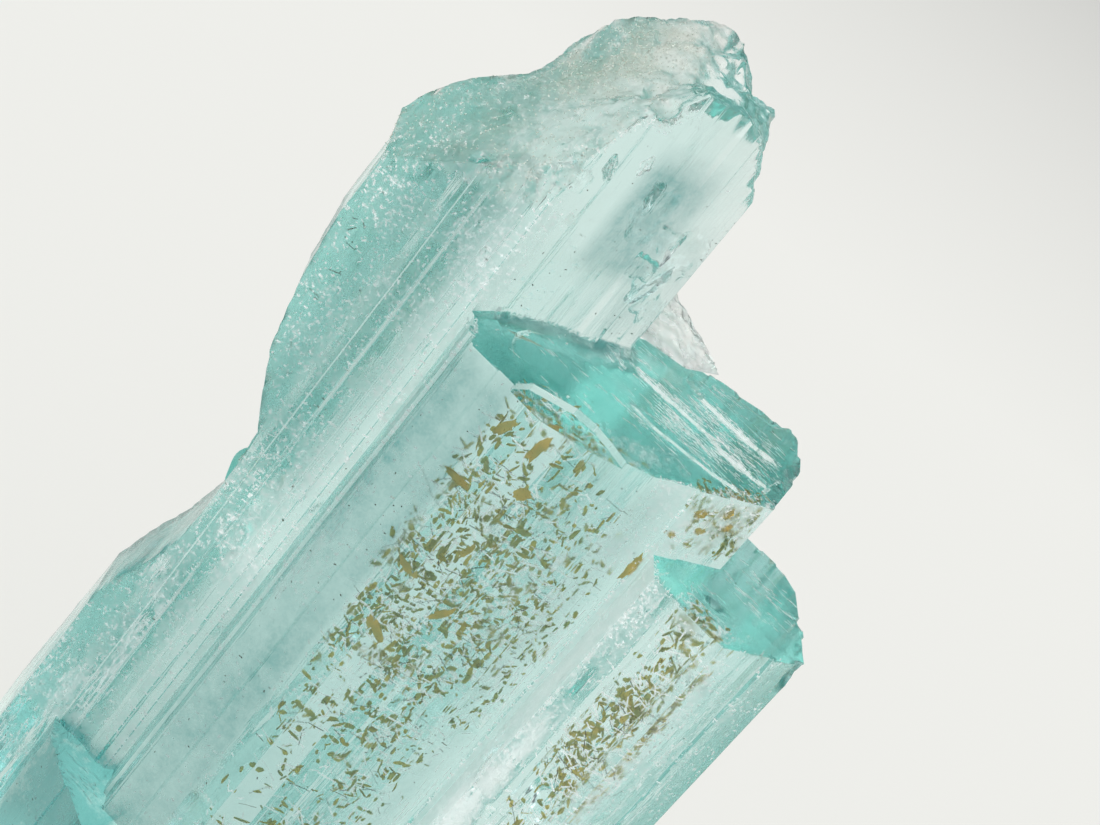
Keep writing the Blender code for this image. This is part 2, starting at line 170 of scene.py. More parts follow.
ANY_WAY = {"Turn from": (0.0, 0.0, 0.0), "Turn to": (math.tau, math.tau, math.tau)}
# Large flakes: (x, y, z, length, width, lean in degrees from upright).
LARGE_FLAKES = (
    (-3.2, -8.7, 49.6, 1.5, 0.55, 25),
    (-1.4, -8.7, 49.8, 2.1, 0.6, 10),
    (-3.5, -8.8, 45.6, 1.7, 0.55, 95),
    (-0.6, -8.1, 47.0, 1.0, 0.75, 40),
    (-0.9, -8.1, 42.4, 1.2, 0.4, 15),
    (0.2, -7.8, 38.3, 1.7, 0.45, 35),
    (-2.6, -8.5, 39.6, 1.2, 0.45, 110),
    (-1.9, -8.6, 35.4, 1.4, 0.5, 130),
    (6.6, -4.6, 45.9, 2.0, 0.6, 4),
    (7.5, -3.4, 50.4, 0.9, 0.7, 60),
    (8.8, -2.1, 50.8, 0.8, 0.7, 20),
    (8.2, -2.8, 49.3, 0.75, 0.5, 80),
    (9.3, -1.5, 49.9, 0.7, 0.5, 35),
    (7.0, -3.9, 48.6, 0.6, 0.45, 100),
)

# White veils inside, as upright sheets of fine splinters: (start, end, z from, z to, strength, streaky).
VEILS = (
    # Under the tall crystal's front face, frosted on its right, veined lower down, streaked near the base.
    ((-12.4, -5.15), (-8.9, -5.9), 45.0, 59.4, 1.3, False),
    ((-12.0, -4.6), (-9.2, -5.2), 46.0, 58.6, 1.0, False),
    ((-13.6, -4.7), (-8.9, -5.7), 27.0, 47.0, 1.0, False),
    ((-14.0, -4.2), (-8.6, -5.3), 22.0, 44.0, 0.7, False),
    ((-12.4, -5.0), (-9.4, -5.6), 30.0, 37.0, 1.8, False),
    ((-14.6, -4.45), (-10.9, -5.25), 13.0, 29.0, 3.4, True),
    ((-16.2, -3.3), (-11.5, -4.3), 0.6, 20.0, 0.8, True),
    ((-17.0, -3.5), (-12.6, -4.7), 38.0, 57.0, 0.3, False),
    ((-8.0, -5.3), (-2.6, 0.6), 50.0, 64.0, 0.16, False),
    # The main crystal: the pale ground behind its flakes and its left edge.
    ((-1.6, -7.4), (4.4, -3.4), 32.0, 43.0, 1.3, False),
    ((-3.8, -6.2), (5.8, -1.0), 24.0, 50.0, 0.7, False),
    ((-3.4, -5.4), (5.4, -0.4), 2.0, 34.0, 0.5, True),
    ((-1.0, -4.6), (6.4, 0.6), 28.0, 49.0, 0.4, False),
    ((4.6, -5.2), (7.4, -2.5), 6.0, 44.0, 0.5, True),
    ((6.6, -4.2), (10.2, -0.4), 46.4, 51.5, 2.2, False),
    ((7.4, -2.8), (10.4, 1.2), 46.6, 51.5, 1.4, False),
    ((-7.3, -7.9), (-6.6, -8.2), 20.0, 50.0, 0.5, True),
    # The front crystal: its near-white left part, the ground behind its flakes and its clearer right.
    ((7.9, -5.3), (9.1, -6.3), 12.0, 46.6, 7.0, True),
    ((7.9, -4.4), (9.5, -5.4), 2.0, 46.4, 2.5, True),
    ((9.6, -4.9), (13.3, -5.0), 26.0, 46.5, 2.6, False),
    ((9.6, -4.6), (13.3, -4.5), 3.0, 46.3, 1.0, False),
    ((9.8, -4.1), (14.0, -3.7), 16.0, 46.0, 0.8, True),
    ((13.4, -5.6), (16.4, -3.2), 4.0, 45.5, 0.4, True),
    # Deep clouds, which the back shows best.
    ((-14.0, 2.2), (-9.6, 6.6), 8.0, 58.0, 0.3, False),
    ((-4.0, 6.6), (8.0, 9.2), 5.0, 48.0, 0.3, False),
    ((9.2, 7.6), (9.9, 3.0), 6.0, 49.0, 0.3, True),
    ((12.2, 3.3), (15.4, 2.2), 5.0, 45.5, 0.35, False),
    ((-6.0, -2.0), (6.0, 3.0), 0.8, 7.0, 0.8, False),
    ((-15.0, 1.0), (-5.0, 2.0), 0.8, 9.0, 0.8, False),
    ((9.0, -1.0), (15.0, 0.0), 0.8, 8.0, 0.8, False),
)

# Growth streaks just under the flat tops: (x, y, z, half length, half width, strength).
TOP_STREAKS = (
    (5.4, 1.4, 51.8, 5.0, 4.6, 1.2),
    (3.0, -1.6, 51.6, 3.4, 2.6, 0.7),
    (1.0, 3.6, 51.7, 4.0, 3.4, 0.8),
    (-2.6, -4.2, 51.75, 3.2, 3.4, 0.2),
    (6.8, 6.4, 51.7, 3.6, 3.0, 1.0),
    (6.0, 2.6, 51.3, 4.4, 4.4, 0.9),
    (13.8, 0.4, 47.0, 2.6, 2.8, 0.8),
    (10.6, -4.4, 46.95, 1.6, 1.6, 0.5),
    (-9.4, -8.0, 14.6, 2.0, 1.8, 0.5),
)

# Curved cracks down from a top: (points along it, top, depth, lean).
CRACKS = (
    (((-5.0, -2.1), (-5.8, -3.0), (-6.1, -4.1), (-5.9, -5.6), (-5.3, -6.9), (-4.8, -7.5)), 51.9, 0.5, 0.5),
    (((-6.6, -4.6), (-6.0, -4.1), (-5.2, -3.6), (-4.6, -3.3)), 51.85, 0.4, 0.6),
    (((8.6, 3.4), (9.4, 2.9), (10.1, 2.4)), 51.8, 0.4, 0.3),
    (((10.6, -3.6), (11.2, -3.1), (11.9, -3.2), (12.4, -3.6)), 47.0, 0.4, 0.5),
)

# Shell-shaped breaks inside: (x, y, z, radius, tilt about x, then turn about z, in degrees).
INNER_BREAKS = (
    (-4.9, 0.0, 60.3, 1.3, 70, 20),
    (-3.6, 1.2, 59.6, 0.8, 85, 25),
    (-11.9, -4.3, 58.4, 1.0, 80, 20),
    (-10.5, -4.4, 59.2, 1.1, 95, -15),
    (-12.8, -4.2, 57.9, 0.8, 100, 40),
    (-2.4, 2.7, 58.8, 1.5, 80, 35),
    (-2.8, 2.4, 56.6, 1.2, 60, -15),
    (-3.6, 1.6, 57.6, 0.8, 110, 10),
    (-5.4, -0.6, 61.8, 0.9, 95, -40),
    (-2.2, 3.6, 55.2, 1.0, 75, 15),
    (-8.4, -2.6, 62.2, 0.7, 100, -35),
    (-6.9, -1.6, 63.0, 0.5, 75, -20),
    (-9.2, -3.4, 60.9, 0.6, 85, 10),
    (-12.4, -2.6, 34.4, 1.6, 85, 15),
    (-11.0, -3.4, 31.4, 1.3, 95, -25),
    (-10.2, -4.0, 36.2, 1.0, 70, 5),
    (1.0, 2.0, 30.0, 2.4, 75, 12),
    (6.0, 3.6, 20.0, 2.0, 88, -18),
    (-1.6, -1.2, 14.0, 2.2, 70, 25),
    (13.0, 0.4, 30.0, 1.5, 84, 16),
    (12.2, 1.4, 12.0, 1.6, 65, -12),
    (-11.4, 3.0, 22.0, 1.9, 80, 22),
    (8.6, -5.0, 30.6, 0.9, 80, 30),
)

# Lines of tiny bubbles: (start, end, how many, wander).
BUBBLE_LINES = (
    ((14.0, -5.9, 44.0), (13.4, -6.3, 34.0), 46, 0.08),
    ((13.2, -5.2, 38.0), (12.6, -5.4, 20.0), 40, 0.15),
    ((-8.8, -4.9, 26.0), (-8.6, -4.6, 6.0), 36, 0.2),
    ((2.0, -6.0, 20.0), (3.6, -5.0, 6.0), 30, 0.25),
    ((4.0, 7.6, 42.0), (5.4, 7.2, 14.0), 50, 0.2),
)


# ---------------------------------------------------------------- settings


colour_property = partial(FloatVectorProperty, subtype="COLOR", size=3, min=0, max=1)
length_property = partial(FloatProperty, subtype="DISTANCE", min=0, precision=5)


class CrystalSettings(bpy.types.PropertyGroup):
    """The clear beryl and its surface."""

    absorbed: colour_property(
        name="Colour kept", description="Colour left after light has crossed the beryl",
        default=(0.03, 0.74, 0.69),
    )
    depth: FloatProperty(
        name="Absorption", description="How fast the colour deepens with thickness, per metre",
        min=0, default=26.5,
    )
    zoned: colour_property(
        name="Colour of deep zones", description="Tint where the beryl is deeper coloured",
        default=(0.07, 0.27, 0.27),
    )
    polished: FloatProperty(
        name="Clear roughness", description="Roughness of a clear face", min=0, max=1, default=0.03,
    )
    frosted: FloatProperty(
        name="Frosted roughness", description="Roughness of a frosted face", min=0, max=1, default=0.5,
    )
    relief: length_property(
        name="Relief", description="Height of the growth lines and waves on the faces", default=0.00009,
    )
    hackle: length_property(
        name="Hackle", description="Height of the grain on the broken surfaces", default=0.00022,
    )


class InsideSettings(bpy.types.PropertyGroup):
    """What lies inside the crystals."""

    flakes: FloatProperty(
        name="Flake density", description="Mica flakes per square metre of zone", min=0, default=5.6e6,
    )
    flake_small: length_property(name="Smallest flake", description="Shortest flake", default=0.0002)
    flake_large: length_property(name="Largest flake", description="Longest flake", default=0.001)
    gold: colour_property(
        name="Flake colour", description="Colour of a fresh flake", default=(0.84, 0.7, 0.22),
    )
    olive: colour_property(
        name="Altered flake colour", description="Colour of an altered flake", default=(0.5, 0.57, 0.25),
    )
    splinters: FloatProperty(
        name="Splinter density", description="White splinters per square metre", min=0, default=2.6e7,
    )
    milk: colour_property(
        name="Veil colour", description="Colour of the white veils", default=(0.94, 0.985, 0.97),
    )
    # How brightly the white splinters glow: painted light, though they are no lamp.
    scatter: FloatProperty(
        name="Scattered light", description="Light that the white inclusions pass on", min=0, default=0.3,
    )
    seed: IntProperty(name="Seed", description="Changes where the small pieces fall", default=7)


class StageSettings(bpy.types.PropertyGroup):
    """The pale floor and the light."""

    floor: colour_property(
        name="Floor colour", description="Colour of the floor", default=(0.14, 0.14, 0.138),
    )
    glow: FloatProperty(name="Floor glow", description="How much light the floor gives", min=0, default=0.69)
    front: FloatProperty(
        name="Front light", description="Brightness of the sky on the near side", min=0, default=1.5,
    )
    overhead: FloatProperty(
        name="Overhead light", description="Brightness of the sky overhead", min=0, default=1.1,
    )


# ---------------------------------------------------------------- shader building


class Nodes:
    """A node tree under construction."""

    def __init__(self, tree):
        self.tree = tree

    def set(self, node, key, value):
        """Links a socket, or gives it a constant."""
        socket = node.inputs[key]
        if isinstance(value, bpy.types.NodeSocket):
            self.tree.links.new(value, socket)
        elif socket.type == "RGBA":
            socket.default_value = (*value[:3], 1.0)
        else:
            socket.default_value = value

    def fill(self, node, **inputs):
        for name, value in inputs.items():
            self.set(node, name.replace("_", " "), value)
        return node

    def add(self, kind, settings=None, **inputs):
        node = self.tree.nodes.new(kind)
        for name, value in (settings or {}).items():
            setattr(node, name, value)
        return self.fill(node, **inputs)

    def math(self, operation, a, b, clamp=False):
        node = self.add("ShaderNodeMath", {"operation": operation, "use_clamp": clamp})
        self.set(node, 0, a)
        self.set(node, 1, b)
        return node.outputs[0]

    def vector_math(self, operation, *values):
        node = self.add("ShaderNodeVectorMath", {"operation": operation})
        for key, value in zip((0, "Scale" if operation == "SCALE" else 1), values):
            self.set(node, key, value)
        return node.outputs["Value" if operation in ("DOT_PRODUCT", "LENGTH") else "Vector"]

    def remap(self, value, low, high, to_low=0.0, to_high=1.0):
        node = self.add("ShaderNodeMapRange", Value=value)
        for key, number in enumerate((low, high, to_low, to_high), 1):
            self.set(node, key, number)
        return node.outputs[0]

    def mix(self, share, a, b):
        node = self.add("ShaderNodeMix", {"data_type": "RGBA"})
        for key, value in ((0, share), (6, a), (7, b)):
            self.set(node, key, value)
        return node.outputs[2]

    def noise(self, place, scale, detail, **more):
        return self.add("ShaderNodeTexNoise", Vector=place, Scale=scale, Detail=detail, **more).outputs["Fac"]

    def attribute(self, name):
        return self.add("ShaderNodeAttribute", {"attribute_name": name}).outputs["Fac"]

    def bump(self, height, strength, distance):
        node = self.add("ShaderNodeBump", Height=height, Strength=strength, Distance=distance)
        return node.outputs["Normal"]

    def scaled(self, place, scale):
        return self.add("ShaderNodeMapping", Vector=place, Scale=scale).outputs["Vector"]

    def group(self, tree, **inputs):
        """The one output of a node group."""
        return self.fill(self.add("ShaderNodeGroup", {"node_tree": tree}), **inputs).outputs[0]


def new_material(name):
    """A material, its Principled BSDF and its nodes."""
    material = bpy.data.materials.new(name)
    material.use_nodes = True
    return material, material.node_tree.nodes["Principled BSDF"], Nodes(material.node_tree)


def new_group(name, inputs, output):
    """A shader node group that takes a place and float inputs (name, default), and its two ends."""
    tree = bpy.data.node_groups.new(name, "ShaderNodeTree")
    tree.interface.new_socket("Place", in_out="INPUT", socket_type="NodeSocketVector")
    for socket, value in inputs:
        tree.interface.new_socket(socket, in_out="INPUT", socket_type="NodeSocketFloat").default_value = value
    tree.interface.new_socket(output, in_out="OUTPUT", socket_type="NodeSocketFloat")
    return Nodes(tree), tree.nodes.new("NodeGroupInput").outputs, tree.nodes.new("NodeGroupOutput")


def growth_lines():
    """Fine lines that run up the long axis: Scale lines a millimetre, Stretch times longer than wide."""
    inputs = ("Scale", 3.0), ("Stretch", 14.0), ("Detail", 3.0)
    s, into, out = new_group("growth_lines", inputs, "Lines")
    split = s.add("ShaderNodeSeparateXYZ", Vector=into["Place"]).outputs
    height = s.math("DIVIDE", split["Z"], into["Stretch"])
    place = s.add("ShaderNodeCombineXYZ", X=split["X"], Y=split["Y"], Z=height).outputs[0]
    s.set(out, "Lines", s.noise(place, into["Scale"], into["Detail"]))
    return s.tree


def grain():
    """Fine cloudy grain: 0 where the noise is at Low or under, 1 where it is at High or over."""
    s, into, out = new_group("grain", (("Scale", 5.0), ("Low", 0.3), ("High", 0.7)), "Grain")
    rise = s.math("SUBTRACT", s.noise(into["Place"], into["Scale"], 2.0, Roughness=0.65), into["Low"])
    span = s.math("SUBTRACT", into["High"], into["Low"])
    s.set(out, "Grain", s.math("DIVIDE", rise, span, clamp=True))
    return s.tree


def shared(maker):
    """A node group that is built once and used by several materials."""
    return bpy.data.node_groups.get(maker.__name__) or maker()


def millimetres(s):
    """Object coordinates in millimetres."""
    return s.scaled(s.add("ShaderNodeTexCoord").outputs["Object"], (1 / MM, 1 / MM, 1 / MM))


def beryl_material(look):
    material, shader, s = new_material("clear beryl")
    place = millimetres(s)
    lines = s.group(shared(growth_lines), Place=place, Scale=4.6, Stretch=24.0, Detail=2.0)
    fine = s.group(shared(grain), Place=place, Scale=6.5)
    mottle = s.group(shared(grain), Place=place, Scale=1.1)
    frost, broken, stained, deep = map(s.attribute, ("frost", "broken", "stained", "deep"))
    patchy = s.math("ADD", s.math("MULTIPLY", fine, 0.6), s.math("MULTIPLY", mottle, 0.8))
    mist = s.math("MULTIPLY", frost, s.math("ADD", 0.35, patchy), clamp=True)
    rough = s.math("ADD", look.polished, s.math("MULTIPLY", mist, look.frosted - look.polished))
    rough = s.math("ADD", rough, s.math("MULTIPLY", stained, 0.4), clamp=True)
    patches = s.math("ADD", s.math("MULTIPLY", mottle, 0.34), s.math("MULTIPLY", fine, 0.16))
    deep = s.math("MULTIPLY", deep, s.math("SUBTRACT", 1.22, patches), clamp=True)
    ridges = s.math("MULTIPLY", lines, s.math("SUBTRACT", 1.0, broken))
    pits = s.math("ADD", s.math("MULTIPLY", mist, 0.5), s.math("MULTIPLY", broken, 0.35))
    height = s.math("ADD", ridges, s.math("MULTIPLY", fine, pits))
    s.fill(
        shader, Base_Color=s.mix(stained, s.mix(deep, CLEAR, look.zoned), BEIGE), Roughness=rough,
        Normal=s.bump(height, 0.22, 0.00005), IOR=1.57, Transmission_Weight=1.0,
    )
    body = s.add("ShaderNodeVolumeAbsorption", Color=look.absorbed, Density=look.depth)
    s.set(material.node_tree.nodes["Material Output"], "Volume", body.outputs["Volume"])
    return material


def quartz_material():
    material, shader, s = new_material("layered quartz")
    place = millimetres(s)
    patches = s.group(shared(grain), Place=place, Scale=1.3)
    layers = s.noise(s.scaled(place, (0.8, 0.8, 1.7)), 1.4, 3.0)
    s.fill(
        shader, Base_Color=s.mix(patches, (0.86, 0.96, 0.92), (1.0, 1.0, 0.96)),
        Roughness=s.remap(layers, 0.3, 0.7, 0.08, 0.34), Normal=s.bump(layers, 0.3, 0.00008),
        IOR=1.54, Transmission_Weight=0.5,
    )
    return material


def flake_material(name, fresh, altered):
    material, shader, s = new_material(name)
    place = millimetres(s)
    tone, fine = s.noise(place, 0.9, 2.0), s.noise(place, 9.0, 3.0)
    share = s.remap(s.math("ADD", tone, s.math("MULTIPLY", fine, 0.35)), 0.55, 0.8)
    s.fill(
        shader, Base_Color=s.mix(share, fresh, altered), Roughness=s.remap(fine, 0.3, 0.7, 0.25, 0.5),
        Normal=s.bump(fine, 0.4, 0.00003), Transmission_Weight=0.5, IOR=1.35,
    )
    return material


def plain_material(name, colour, roughness, glow=0.0):
    """Needles, bubbles and splinters: one finish with a little grain. A glow, where given, is painted light:
    it brightens white ones though they are no lamp.
    """
    material, shader, s = new_material(name)
    fine = s.noise(millimetres(s), 4.0, 3.0)
    darker = [c * 0.72 for c in colour]
    roughness = s.remap(fine, 0.3, 0.7, roughness * 0.8, min(1.0, roughness * 1.2))
    s.fill(shader, Base_Color=s.mix(s.remap(fine, 0.35, 0.65), darker, colour), Roughness=roughness)
    if glow:
        s.fill(shader, Emission_Color=colour, Emission_Strength=glow)
        material.cycles.emission_sampling = "NONE"
    return material


# ---------------------------------------------------------------- mesh building


def finished(bm, name):
    """The mesh that a bmesh holds, which is then let go."""
    mesh = bpy.data.meshes.new(name)
    bm.to_mesh(mesh)
    bm.free()
    return mesh


def link(mesh, material=None):
    """An object that is named like its mesh."""
    obj = bpy.data.objects.new(mesh.name, mesh)
    bpy.context.scene.collection.objects.link(obj)
    if material is not None:
        mesh.materials.append(material)
    return obj


def add_sheet(bm, columns, rows, spot):
    """A sheet to strew pieces over: spot(i, j) gives a point of it and how many pieces fall there."""
    share = bm.verts.layers.float.get("share") or bm.verts.layers.float.new("share")
    grid = []
    for j in range(rows + 1):
        line = []
        for i in range(columns + 1):
            p, amount = spot(i, j)
            vert = bm.verts.new(p * MM)
            vert[share] = amount
            line.append(vert)
        grid.append(line)
    for low, high in zip(grid, grid[1:]):
        for i in range(columns):
            bm.faces.new((low[i], low[i + 1], high[i + 1], high[i]))


def flat_noise(x, y, z=0.0):
    """Smooth noise at a place given by its numbers, from -1 to 1."""
    return noise.noise(Vector((x, y, z)))


def held(value, high=1.0):
    """A value kept between 0 and high."""
    return max(0.0, min(high, value))


def slice_faces(bm, faces, point, normal):
    """Cuts the given faces by a plane and returns the faces there now."""
    edges = dict.fromkeys(edge for face in faces for edge in face.edges)
    verts = dict.fromkeys(vert for face in faces for vert in face.verts)
    cut = bmesh.ops.bisect_plane(
        bm, geom=[*faces, *edges, *verts], plane_co=point, plane_no=normal, dist=1e-7,
    )
    return [item for item in cut["geom"] if isinstance(item, bmesh.types.BMFace)]


def sliced_at(bm, faces, normal, levels):
    """Cuts faces by planes at the given distances along normal."""
    for level in levels:
        crossed, missed = [], []
        for face in faces:
            reach = [normal.dot(vert.co) for vert in face.verts]
            side = crossed if min(reach) < level < max(reach) else missed
            side.append(face)
        if crossed:
            faces = missed + slice_faces(bm, crossed, normal * level, normal)
    return faces


def sliced_evenly(bm, faces, normal, pitch, rim=0.0):
    """Cuts faces by planes a pitch apart along normal, and once more a rim's width in from each end."""
    reach = [normal.dot(vert.co) for face in faces for vert in face.verts]
    low, high = min(reach), max(reach)
    count = int((high - low) / (pitch * MM))
    step = (high - low) / (count + 1)
    levels = [low + step * (i + 1) for i in range(count)]
    if rim and high - low > 4 * rim * MM:
        levels = [low + rim * MM, *levels, high - rim * MM]
    return sliced_at(bm, faces, normal, levels)


def surface_kind(face):
    up = face.normal.z
    height = face.calc_center_median().z / MM
    if up < -FLAT and height < BASE_TO:
        return "base"
    if abs(up) < UPRIGHT and face.calc_area() > LEAST_PRISM:
        return "prism"
    if up > FLAT and height < BREAK_FROM:
        return "top"
    return "broken"


def too_long(edge, pitch):
    """Whether an edge of a broken surface is cut at this pitch: the finest is for the tall crystal's end."""
    at_end = min(v.co.z for v in edge.verts) > BREAK_FROM * MM
    return edge.calc_length() > 1.4 * pitch * MM and (pitch > BROKEN_PITCHES[-1] or at_end)


def cut_fine(bm):
    """Cuts the cluster's faces finely enough to carry relief, along each face's own directions."""
    prism_planes, flat = {}, []
    for face in bm.faces:
        kind = surface_kind(face)
        if kind == "prism":
            turn = round(math.degrees(math.atan2(face.normal.y, face.normal.x)) / 4)
            level = round(face.normal.dot(face.calc_center_median()) / (0.02 * MM))
            prism_planes.setdefault((turn, level), []).append(face)
        elif kind == "top":
            flat.append(face)
    for faces in prism_planes.values():
        normal = faces[0].normal
        sliced_evenly(bm, faces, Vector((-normal.y, normal.x, 0)).normalized(), ACROSS_PITCH, RIM)
    flat = sliced_evenly(bm, flat, STREAK_SIDE, TOP_PITCH * 0.8)
    sliced_evenly(bm, flat, STREAK_WAY, TOP_PITCH * 1.6)
    for pitch in BROKEN_PITCHES:
        edges = dict.fromkeys(e for f in bm.faces if surface_kind(f) == "broken" for e in f.edges)
        edges = [e for e in edges if too_long(e, pitch)]
        bmesh.ops.subdivide_edges(bm, edges=edges, cuts=1, use_grid_fill=False)
        bmesh.ops.triangulate(bm, faces=[f for f in bm.faces if len(f.verts) > 4])
    levels = [i * UP_PITCH for i in range(1, int(MAIN_TOP / UP_PITCH) + 14)]
    levels += [top - drop for top in FLAT_TOPS for drop in (RIM, 3 * RIM)]
    for level in levels:
        z = level * MM
        hit = []
        for face in bm.faces:
            heights = [vert.co.z for vert in face.verts]
            if abs(face.normal.z) < 0.5 and min(heights) < z - 1e-5 and max(heights) > z + 1e-5:
                hit.append(face)
        if hit:
            slice_faces(bm, hit, Vector((0, 0, z)), Vector((0, 0, 1)))


def within(value, low, high, soft):
    """One between low and high, falling to 0 over a soft width outside."""
    if value < low:
        return max(0.0, 1 - (low - value) / soft)
    if value > high:
        return max(0.0, 1 - (value - high) / soft)
    return 1.0


def in_zones(p, zones):
    """The strength of each zone at a place, which falls off more softly up the crystal than across it."""
    for x_low, x_high, y_high, z_low, z_high, strength, soft in zones:
        if p.y < y_high:
            yield strength * (within(p.x, x_low, x_high, soft) * within(p.z, z_low, z_high, soft * 2))


def frost_at(p):
    """How frosted the surface is at a place, from 0 to 1."""
    cloud = noise.noise(p * 0.42) + 0.7 * noise.noise(p * 1.05)
    speck = flat_noise(p.x * 2.6, p.y * 2.6, p.z * 1.3)
    frost = CLEAR_FROST + 0.4 * max(0.0, cloud - 0.15) + 0.1 * speck
    for strength in in_zones(p, FROSTED):
        frost = max(frost, strength * (0.8 + 0.75 * cloud + 0.4 * speck))
    return held(frost)


def slope_frost(p):
    """How frosted the tall crystal's sloping end is, from 0 to 1."""
    if p.z < BREAK_FROM or p.x > -4:
        return CLEAR_FROST
    return max(CLEAR_FROST, min(1.0, within(p.x, *ON_SLOPE) * (0.62 + 0.6 * noise.noise(p * 0.7))))


def deep_at(p):
    """How deep coloured the beryl is at a place on its surface, from 0 up."""
    deep = max(in_zones(p, DEEP_ZONES), default=0.0)
    return deep * (0.9 + 0.35 * flat_noise(p.x * 0.5, p.y * 0.5, p.z * 0.1 + 30))


def stain_at(p):
    """How beige the tall crystal's broken end is at a place, from 0 to 1."""
    if p.z < BREAK_FROM or p.x > 0:
        return 0.0
    spread = (p.x + 10.6) / 3.4, (p.y - 2.6) / 4.4
    level = 1.2 - math.hypot(*spread) + 0.5 * noise.noise(p * 0.45) + 0.35 * noise.noise(p * 1.3)
    slope = 0.34 * within(p.x, *ON_SLOPE) * (1 + noise.noise(p * 0.9))
    return max(0.0, slope, min(1.0, level * 1.1))


def shards_at(p, size):
    """Height of a surface broken into flat splinters, each leaning its own way."""
    cell = noise.voronoi(p / size)[1][0] * size
    way = noise.noise_vector(cell * 3.7 / size)
    return (p - cell).dot(way) / size


def relief_at(kind, p, look):
    """How far a point of the surface moves out."""
    wave, hackle = look.relief / MM, look.hackle / MM
    if kind == "prism":
        lines = 0.17 * flat_noise(p.x * 1.9, p.y * 1.9, p.z * 0.05)
        lines += 0.5 * flat_noise(p.x * 0.5, p.y * 0.5, p.z * 0.09 + 9)
        lines += 0.35 if flat_noise(p.x * 0.8 + 4, p.y * 0.8, p.z * 0.2) > 0.3 else 0.0
        if p.x < -8.3:
            return wave * (0.16 * lines + 0.45 * noise.noise(p * 0.55) + 0.25 * noise.noise(p * 1.6))
        return wave * lines * (0.25 if p.z > MAIN_TOP else 1.0)
    if kind == "top":
        u = p.x * math.cos(STREAK_TURN) + p.y * math.sin(STREAK_TURN)
        v = p.y * math.cos(STREAK_TURN) - p.x * math.sin(STREAK_TURN)
        streak = flat_noise(u * 0.28, v * 2.1, p.z * 2)
        return wave * (0.25 * streak + 0.4 * flat_noise(u * 0.3 + 20, v * 0.45, 3))
    if kind == "broken":
        if p.z < BREAK_FROM + 0.5:
            return hackle * 0.35 * noise.noise(p * 2.1)
        rough = 0.2 + 0.8 * within(p.x, -11.5, 5.0, 3.5)
        shards = 1.5 * shards_at(p, 1.5) + 1.1 * shards_at(p, 0.62)
        return hackle * rough * shards + hackle * 0.2 * noise.noise(p * 3.1)
    return 0.0


def air_gap(bm, grid, thickness):
    """A thin closed gap along a grid of points, thickness to each side, its faces turned into the gap."""
    last_row, last = len(grid) - 1, len(grid[0]) - 1
    sides = ([], [])
    for j, row in enumerate(grid):
        for side in sides:
            side.append([])
        for i, p in enumerate(row):
            across = row[min(i + 1, last)] - row[max(i - 1, 0)]
            up = grid[min(j + 1, last_row)][i] - grid[max(j - 1, 0)][i]
            rim = min(i, last - i, j, last_row - j)
            if rim == 0:
                made = bm.verts.new(p * MM)
                sides[0][j].append(made)
                sides[1][j].append(made)
            else:
                off = across.cross(up).normalized() * thickness * min(1.0, rim / 2)
                sides[0][j].append(bm.verts.new((p + off) * MM))
                sides[1][j].append(bm.verts.new((p - off) * MM))
    for j in range(last_row):
        for i in range(last):
            for side, order in zip(sides, (1, -1)):
                ring = (side[j][i], side[j + 1][i], side[j + 1][i + 1], side[j][i + 1])[::order]
                bm.faces.new(ring)


def shell_grid(centre, radius, turn, seed):
    """A ragged dish with ripples, as a grid of points."""
    grid = []
    for j in range(13):
        row = []
        for i in range(13):
            u, v = i / 6 - 1, j / 6 - 1
            x, y = u * math.sqrt(1 - v * v / 2), v * math.sqrt(1 - u * u / 2)
            far = math.hypot(x, y)
            ragged = 1 + 0.5 * flat_noise(x * 1.3 / (far + 0.01) + seed, y * 1.3 / (far + 0.01))
            dish = 0.16 * far * far + 0.04 * math.sin(far * 9) + 0.17 * flat_noise(x * 1.6, y * 1.6, seed)
            row.append(centre + turn @ (Vector((x * ragged, y * ragged * 1.25, dish)) * radius))
        grid.append(row)
    return grid


def crack_grid(path, top, depth, lean):
    """A curved crack that goes down from a line under a top, as a grid of points."""
    fine = []
    for a, b in zip(path, path[1:]):
        fine += [Vector(a).lerp(Vector(b), k / 4) for k in range(4)]
    fine.append(Vector(path[-1]))
    grid = []
    for j in range(5):
        row = []
        for i, p in enumerate(fine):
            taper = math.sin(math.pi * (i + 0.5) / len(fine)) * (1 + 0.6 * flat_noise(p.x * 2, p.y * 2))
            drop = depth * j / 4 * taper
            row.append(Vector((p.x + lean * drop, p.y + 0.3 * drop, top - 0.05 - drop)))
        grid.append(row)
    return grid


def add_cracks(bm):
    """Thin gaps of air inside the crystals, which mirror the light as real cracks do."""
    for path, top, depth, lean in CRACKS:
        air_gap(bm, crack_grid(path, top, depth, lean), CRACK_GAP)
    for seed, (x, y, z, radius, tilt_x, turn_z) in enumerate(INNER_BREAKS):
        turn = Matrix.Rotation(math.radians(turn_z), 3, "Z") @ Matrix.Rotation(math.radians(tilt_x), 3, "X")
        air_gap(bm, shell_grid(Vector((x, y, z)), radius, turn, seed * 4.9), BREAK_GAP)


def vertex_kind(p, ups):
    """What a vertex lies on, by its place and how far the faces round it point up or down."""
    if p.z < 0.02:
        return "base"
    if max(ups) < UPRIGHT * 2:
        return "prism"
    if min(ups) > FLAT and p.z < BREAK_FROM:
        return "top"
    if min(ups) < UPRIGHT * 2 and max(ups) > FLAT:
        return "edge"
    return "broken"


def on_worn_edge(vert, kind, p):
    """Whether a vertex is on an edge that has worn, as all have but the tall crystal's far one."""
    if kind != "prism":
        return kind == "edge"
    if p.x < -10 and p.y > 2:
        return False
    return min(f.normal.dot(g.normal) for f in vert.link_faces for g in vert.link_faces) < 0.8


